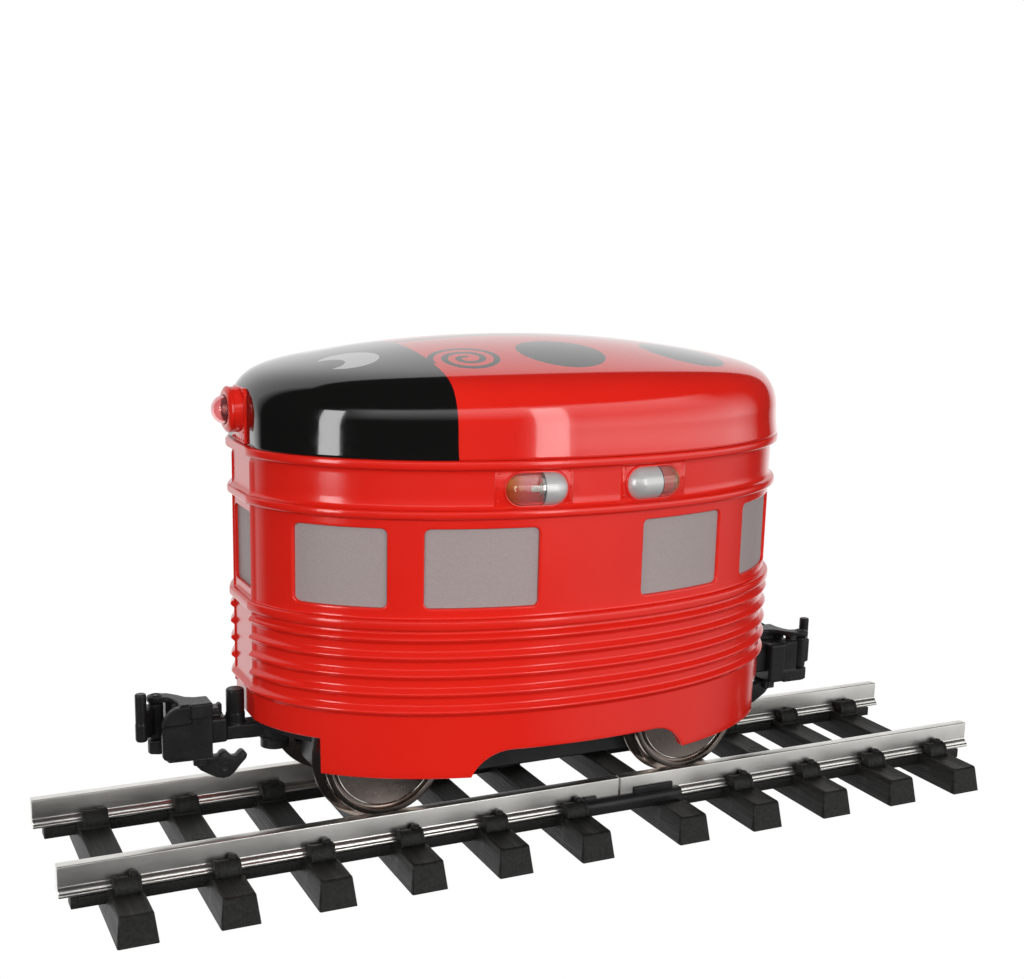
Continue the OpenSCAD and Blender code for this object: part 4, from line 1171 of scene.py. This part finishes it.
def drawbar_parts():
    """Solids of the drawbar: pivot boss, bar, stepped end and spring post."""
    boss = [(0.02, 33.3), (2.2, 33.4), (3.7, 33.9), (4.6, 34.7), (5.0, 35.8), (5.0, 40.0), (4.4, 40.5),
            (0.02, 40.5)]
    under_rib = [(76.0, 35.3), (81.0, 35.3), (86.5, 35.5), (91.0, 35.9), (91.0, 37.5), (76.0, 37.5)]
    return [
        revolve(boss, 40, at=(75, 0)),
        block((75, 95.2), (-3.0, 3.0), (36.0, 40.3), 0.4),
        slab(under_rib, -1.6, 1.6, "y", 0.15),
        block((89.8, 95.2), (-3.9, 3.9), (35.8, 43.2), 0.7),
        # Stepped top with its small notch
        block((91.2, 95.2), (-3.4, 1.8), (42.5, 45.5), 0.5),
        block((90.2, 91.4), (-3.0, -0.6), (42.5, 46.0), 0.3),
        # Post for the centring spring, with a raised collar
        upright(86.6, 0, 2.62, 40.0, 50.4, cap=0.35),
        upright(86.6, 0, 2.78, 40.0, 43.4, cap=0.2),
    ]


def knuckle_parts():
    """Solids of the knuckle: hinge barrel, hooked arm and its upright bar with a collar."""
    hook = round_pin([(-0.4, -1.9), (2.6, -1.8), (4.8, 3.4), (6.2, 4.0), (6.2, 5.8), (4.4, 6.3), (2.3, 4.2),
                      (0.6, 1.9)])
    return [
        upright(*PIN, 2.1, 36.9, 47.3),
        slab(hook, 38.6, 46.6, "z", 0.4),
        upright(113.4, 0.6, 1.6, 38.1, 52.0),
        upright(113.4, 0.6, 1.72, 38.5, 43.4, cap=0.2),
    ]

LEVER = [(99.4, 31.6), (98.9, 29.4), (97.2, 27.4), (95.0, 26.0), (92.6, 24.6), (90.6, 24.05), (88.9, 24.4),
         (87.3, 25.6), (85.6, 27.6), (83.9, 29.3), (83.6, 30.4), (84.1, 31.3), (85.0, 31.7), (85.9, 31.1),
         (86.6, 30.3), (87.6, 30.2), (88.5, 30.8), (89.2, 31.8), (90.2, 32.3), (91.2, 31.9), (91.9, 31.0),
         (93.6, 31.0), (95.6, 31.8), (96.6, 32.2), (98.6, 32.2)]
LEVER_BOSS = [(0.02, 1.4), (1.5, 1.4), (1.5, 1.9), (1.2, 2.05), (0.9, 1.95), (0.02, 1.9)]
PIN_RING = [(1.25, 49.2), (1.25, 49.45), (1.5, 49.6), (1.85, 49.45), (1.9, 49.2)]

for end, place in (("front", in_car), ("rear", at_rear)):
    moulded(f"coupler_head_{end}", f"{end}_coupler", head_parts(), place)
    moulded(f"drawbar_{end}", f"{end}_coupler", drawbar_parts(), place)
    moulded(f"knuckle_{end}", f"{end}_knuckle", knuckle_parts(), place)
    shape = Shape().add(slab(LEVER, -1.6, 1.6, "y", 0.35, 3), place)
    for sign in (1, -1):
        points, faces = revolve(LEVER_BOSS, 32)
        shape.add(([(90.2 + u, sign * w, 27.6 + v) for u, v, w in points], faces), place)
    nodes = [f"release_lever_{end}"]
    piece(f"release_lever_{end}_plate", f"{end}_lever", shape, "coupler", nodes, "plastic_black")
    shape = Shape().add(upright(*PIN, 1.0, 33.0, 49.5), place)
    shape.add(revolve(PIN_RING, 32, ring=True, at=PIN), place)
    nodes = [f"knuckle_pin_{end}"]
    piece(f"knuckle_pin_{end}_head", f"{end}_coupler", shape, "coupler", nodes, "plastic_black")

# ---------------------------------------------------------------- carried-over nodes

FINISH = {
    "screw": ("shell_screws", "gearbox_screws", "motor_shaft", "front_axle", "rear_axle"),
    "brass": ("shaft_bearings", "axle_bushings", "wheel_wipers", "worms", "flywheels", "front_axle_gear",
              "rear_axle_gear"),
    "can": ("motor",),
    "board": ("circuit_board",),
    "ballast": ("ballast_weights",),
    "lead": ("lighting_leads", "motor_leads"),
}
finish_of = {node: finish for finish, nodes in FINISH.items() for node in nodes}
for node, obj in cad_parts.items():
    if not obj.hide_render:
        obj.data.materials.clear()
        obj.data.materials.append(MAT[finish_of.get(node, "black")])

# ---------------------------------------------------------------- light and camera

CENTRE = Vector((0.012, 0, 0.08))  # what the lights face, in metres


def around(azimuth, elevation, distance):
    """Place in metres seen from CENTRE."""
    a, e = math.radians(azimuth), math.radians(elevation)
    return CENTRE + distance * Vector((math.cos(a) * math.cos(e), math.sin(a) * math.cos(e), math.sin(e)))


def area_light(name, at, size, power, glossy):
    """Soft rectangle of light facing CENTRE; glossy says whether shiny parts mirror it."""
    data = bpy.data.lights.new(name, "AREA")
    data.shape = "RECTANGLE"
    data.size, data.size_y = size
    data.energy = power
    obj = bpy.data.objects.new(name, data)
    obj.location = at
    obj.rotation_mode = "QUATERNION"
    obj.rotation_quaternion = (CENTRE - Vector(at)).to_track_quat("-Z", "Y")
    obj.visible_glossy = glossy
    obj.visible_camera = False
    bpy.context.scene.collection.objects.link(obj)


def studio_world():
    """The room as shiny parts see it; the camera itself sees plain white."""
    world = bpy.data.worlds.new("studio")
    bpy.context.scene.world = world
    world.use_nodes = True
    world.node_tree.nodes.clear()
    w = Graph(world.node_tree)
    x, y, z = w.split(w.new("ShaderNodeTexCoord").outputs["Generated"])
    # A white screen stands behind the car (towards -Y) and the rest of the room is dim
    screen = w.soft_edge(w.sub(w.mul(w.towards(x, y, -66), 1.9), z), 0.06)
    facing = w.math("DIVIDE", w.towards(x, y, -95), w.length(x, y))
    screen = w.mul(screen, w.remap(facing, 0.40, 0.62, 0, 1))
    room = w.add(w.mul(screen, w.remap(z, -0.12, 0.06, 1.15, 0.9)), 0.03)
    # A soft panel low on the right brightens the red side of the roof and the wall's rear half
    panel = w.mul(w.remap(w.towards(x, y, 142), 0.72, 0.90, 0, 1), w.remap(z, -0.15, -0.04, 0.38, 1.6))
    panel = w.mul(panel, w.remap(z, 0.02, 0.36, 1, 0.1))
    panel = w.mul(panel, w.remap(z, 0.36, 0.42, 1, 0))
    # A long soft tube higher up draws one line along the roof's shoulder
    line = w.mul(w.remap(z, 0.20, 0.42, 0, 1), w.remap(z, 0.44, 0.49, 1, 0))
    line = w.mul(line, w.remap(w.towards(x, y, 97), 0.35, 0.62, 0, 1))
    level = w.add(w.add(room, panel), w.mul(line, 1.6))
    is_camera = w.new("ShaderNodeLightPath").outputs["Is Camera Ray"]
    back = w.new("ShaderNodeBackground")
    w.put(back.inputs["Strength"], w.add(w.mul(level, w.sub(1.0, is_camera)), is_camera))
    w.put(back.inputs["Color"], (1, 1, 1))
    w.link(back.outputs[0], w.new("ShaderNodeOutputWorld").inputs[0])


def photo_camera():
    """Camera turned, raised and rolled as in the photograph."""
    azimuth, elevation, roll = (math.radians(v) for v in (154.395, 12.192, 1.36))
    distance, target = 0.43851, Vector((0.01413, 0, 0.08678))
    level = math.cos(elevation)
    away = Vector((math.sin(azimuth) * level, -math.cos(azimuth) * level, math.sin(elevation)))
    right = Vector((0, 0, 1)).cross(away).normalized()
    up = away.cross(right)
    right, up = (
        math.cos(roll) * right + math.sin(roll) * up,
        -math.sin(roll) * right + math.cos(roll) * up,
    )
    data = bpy.data.cameras.new("camera")
    data.lens, data.sensor_width = 50.43, 36
    data.shift_x, data.shift_y = 0.006, 0.0522
    data.clip_start, data.clip_end = 0.02, 60
    camera = bpy.data.objects.new("camera", data)
    turned = Matrix((right, up, away)).transposed().to_4x4()
    camera.matrix_world = Matrix.Translation(target + distance * away) @ turned
    bpy.context.scene.collection.objects.link(camera)
    bpy.context.scene.camera = camera

area_light("overhead", (-0.05, 0.6, 2.0), (2.6, 2.6), 16, False)
area_light("front_fill", around(76, 12, 2.2), (2.2, 1.6), 34, False)
area_light("strip_left", around(28, 9, 1.3), (0.26, 0.75), 4.6, True)
area_light("strip_right", around(106, 10, 1.3), (0.20, 0.75), 1.9, True)
studio_world()
bpy.context.scene.view_settings.view_transform = "Standard"
photo_camera()
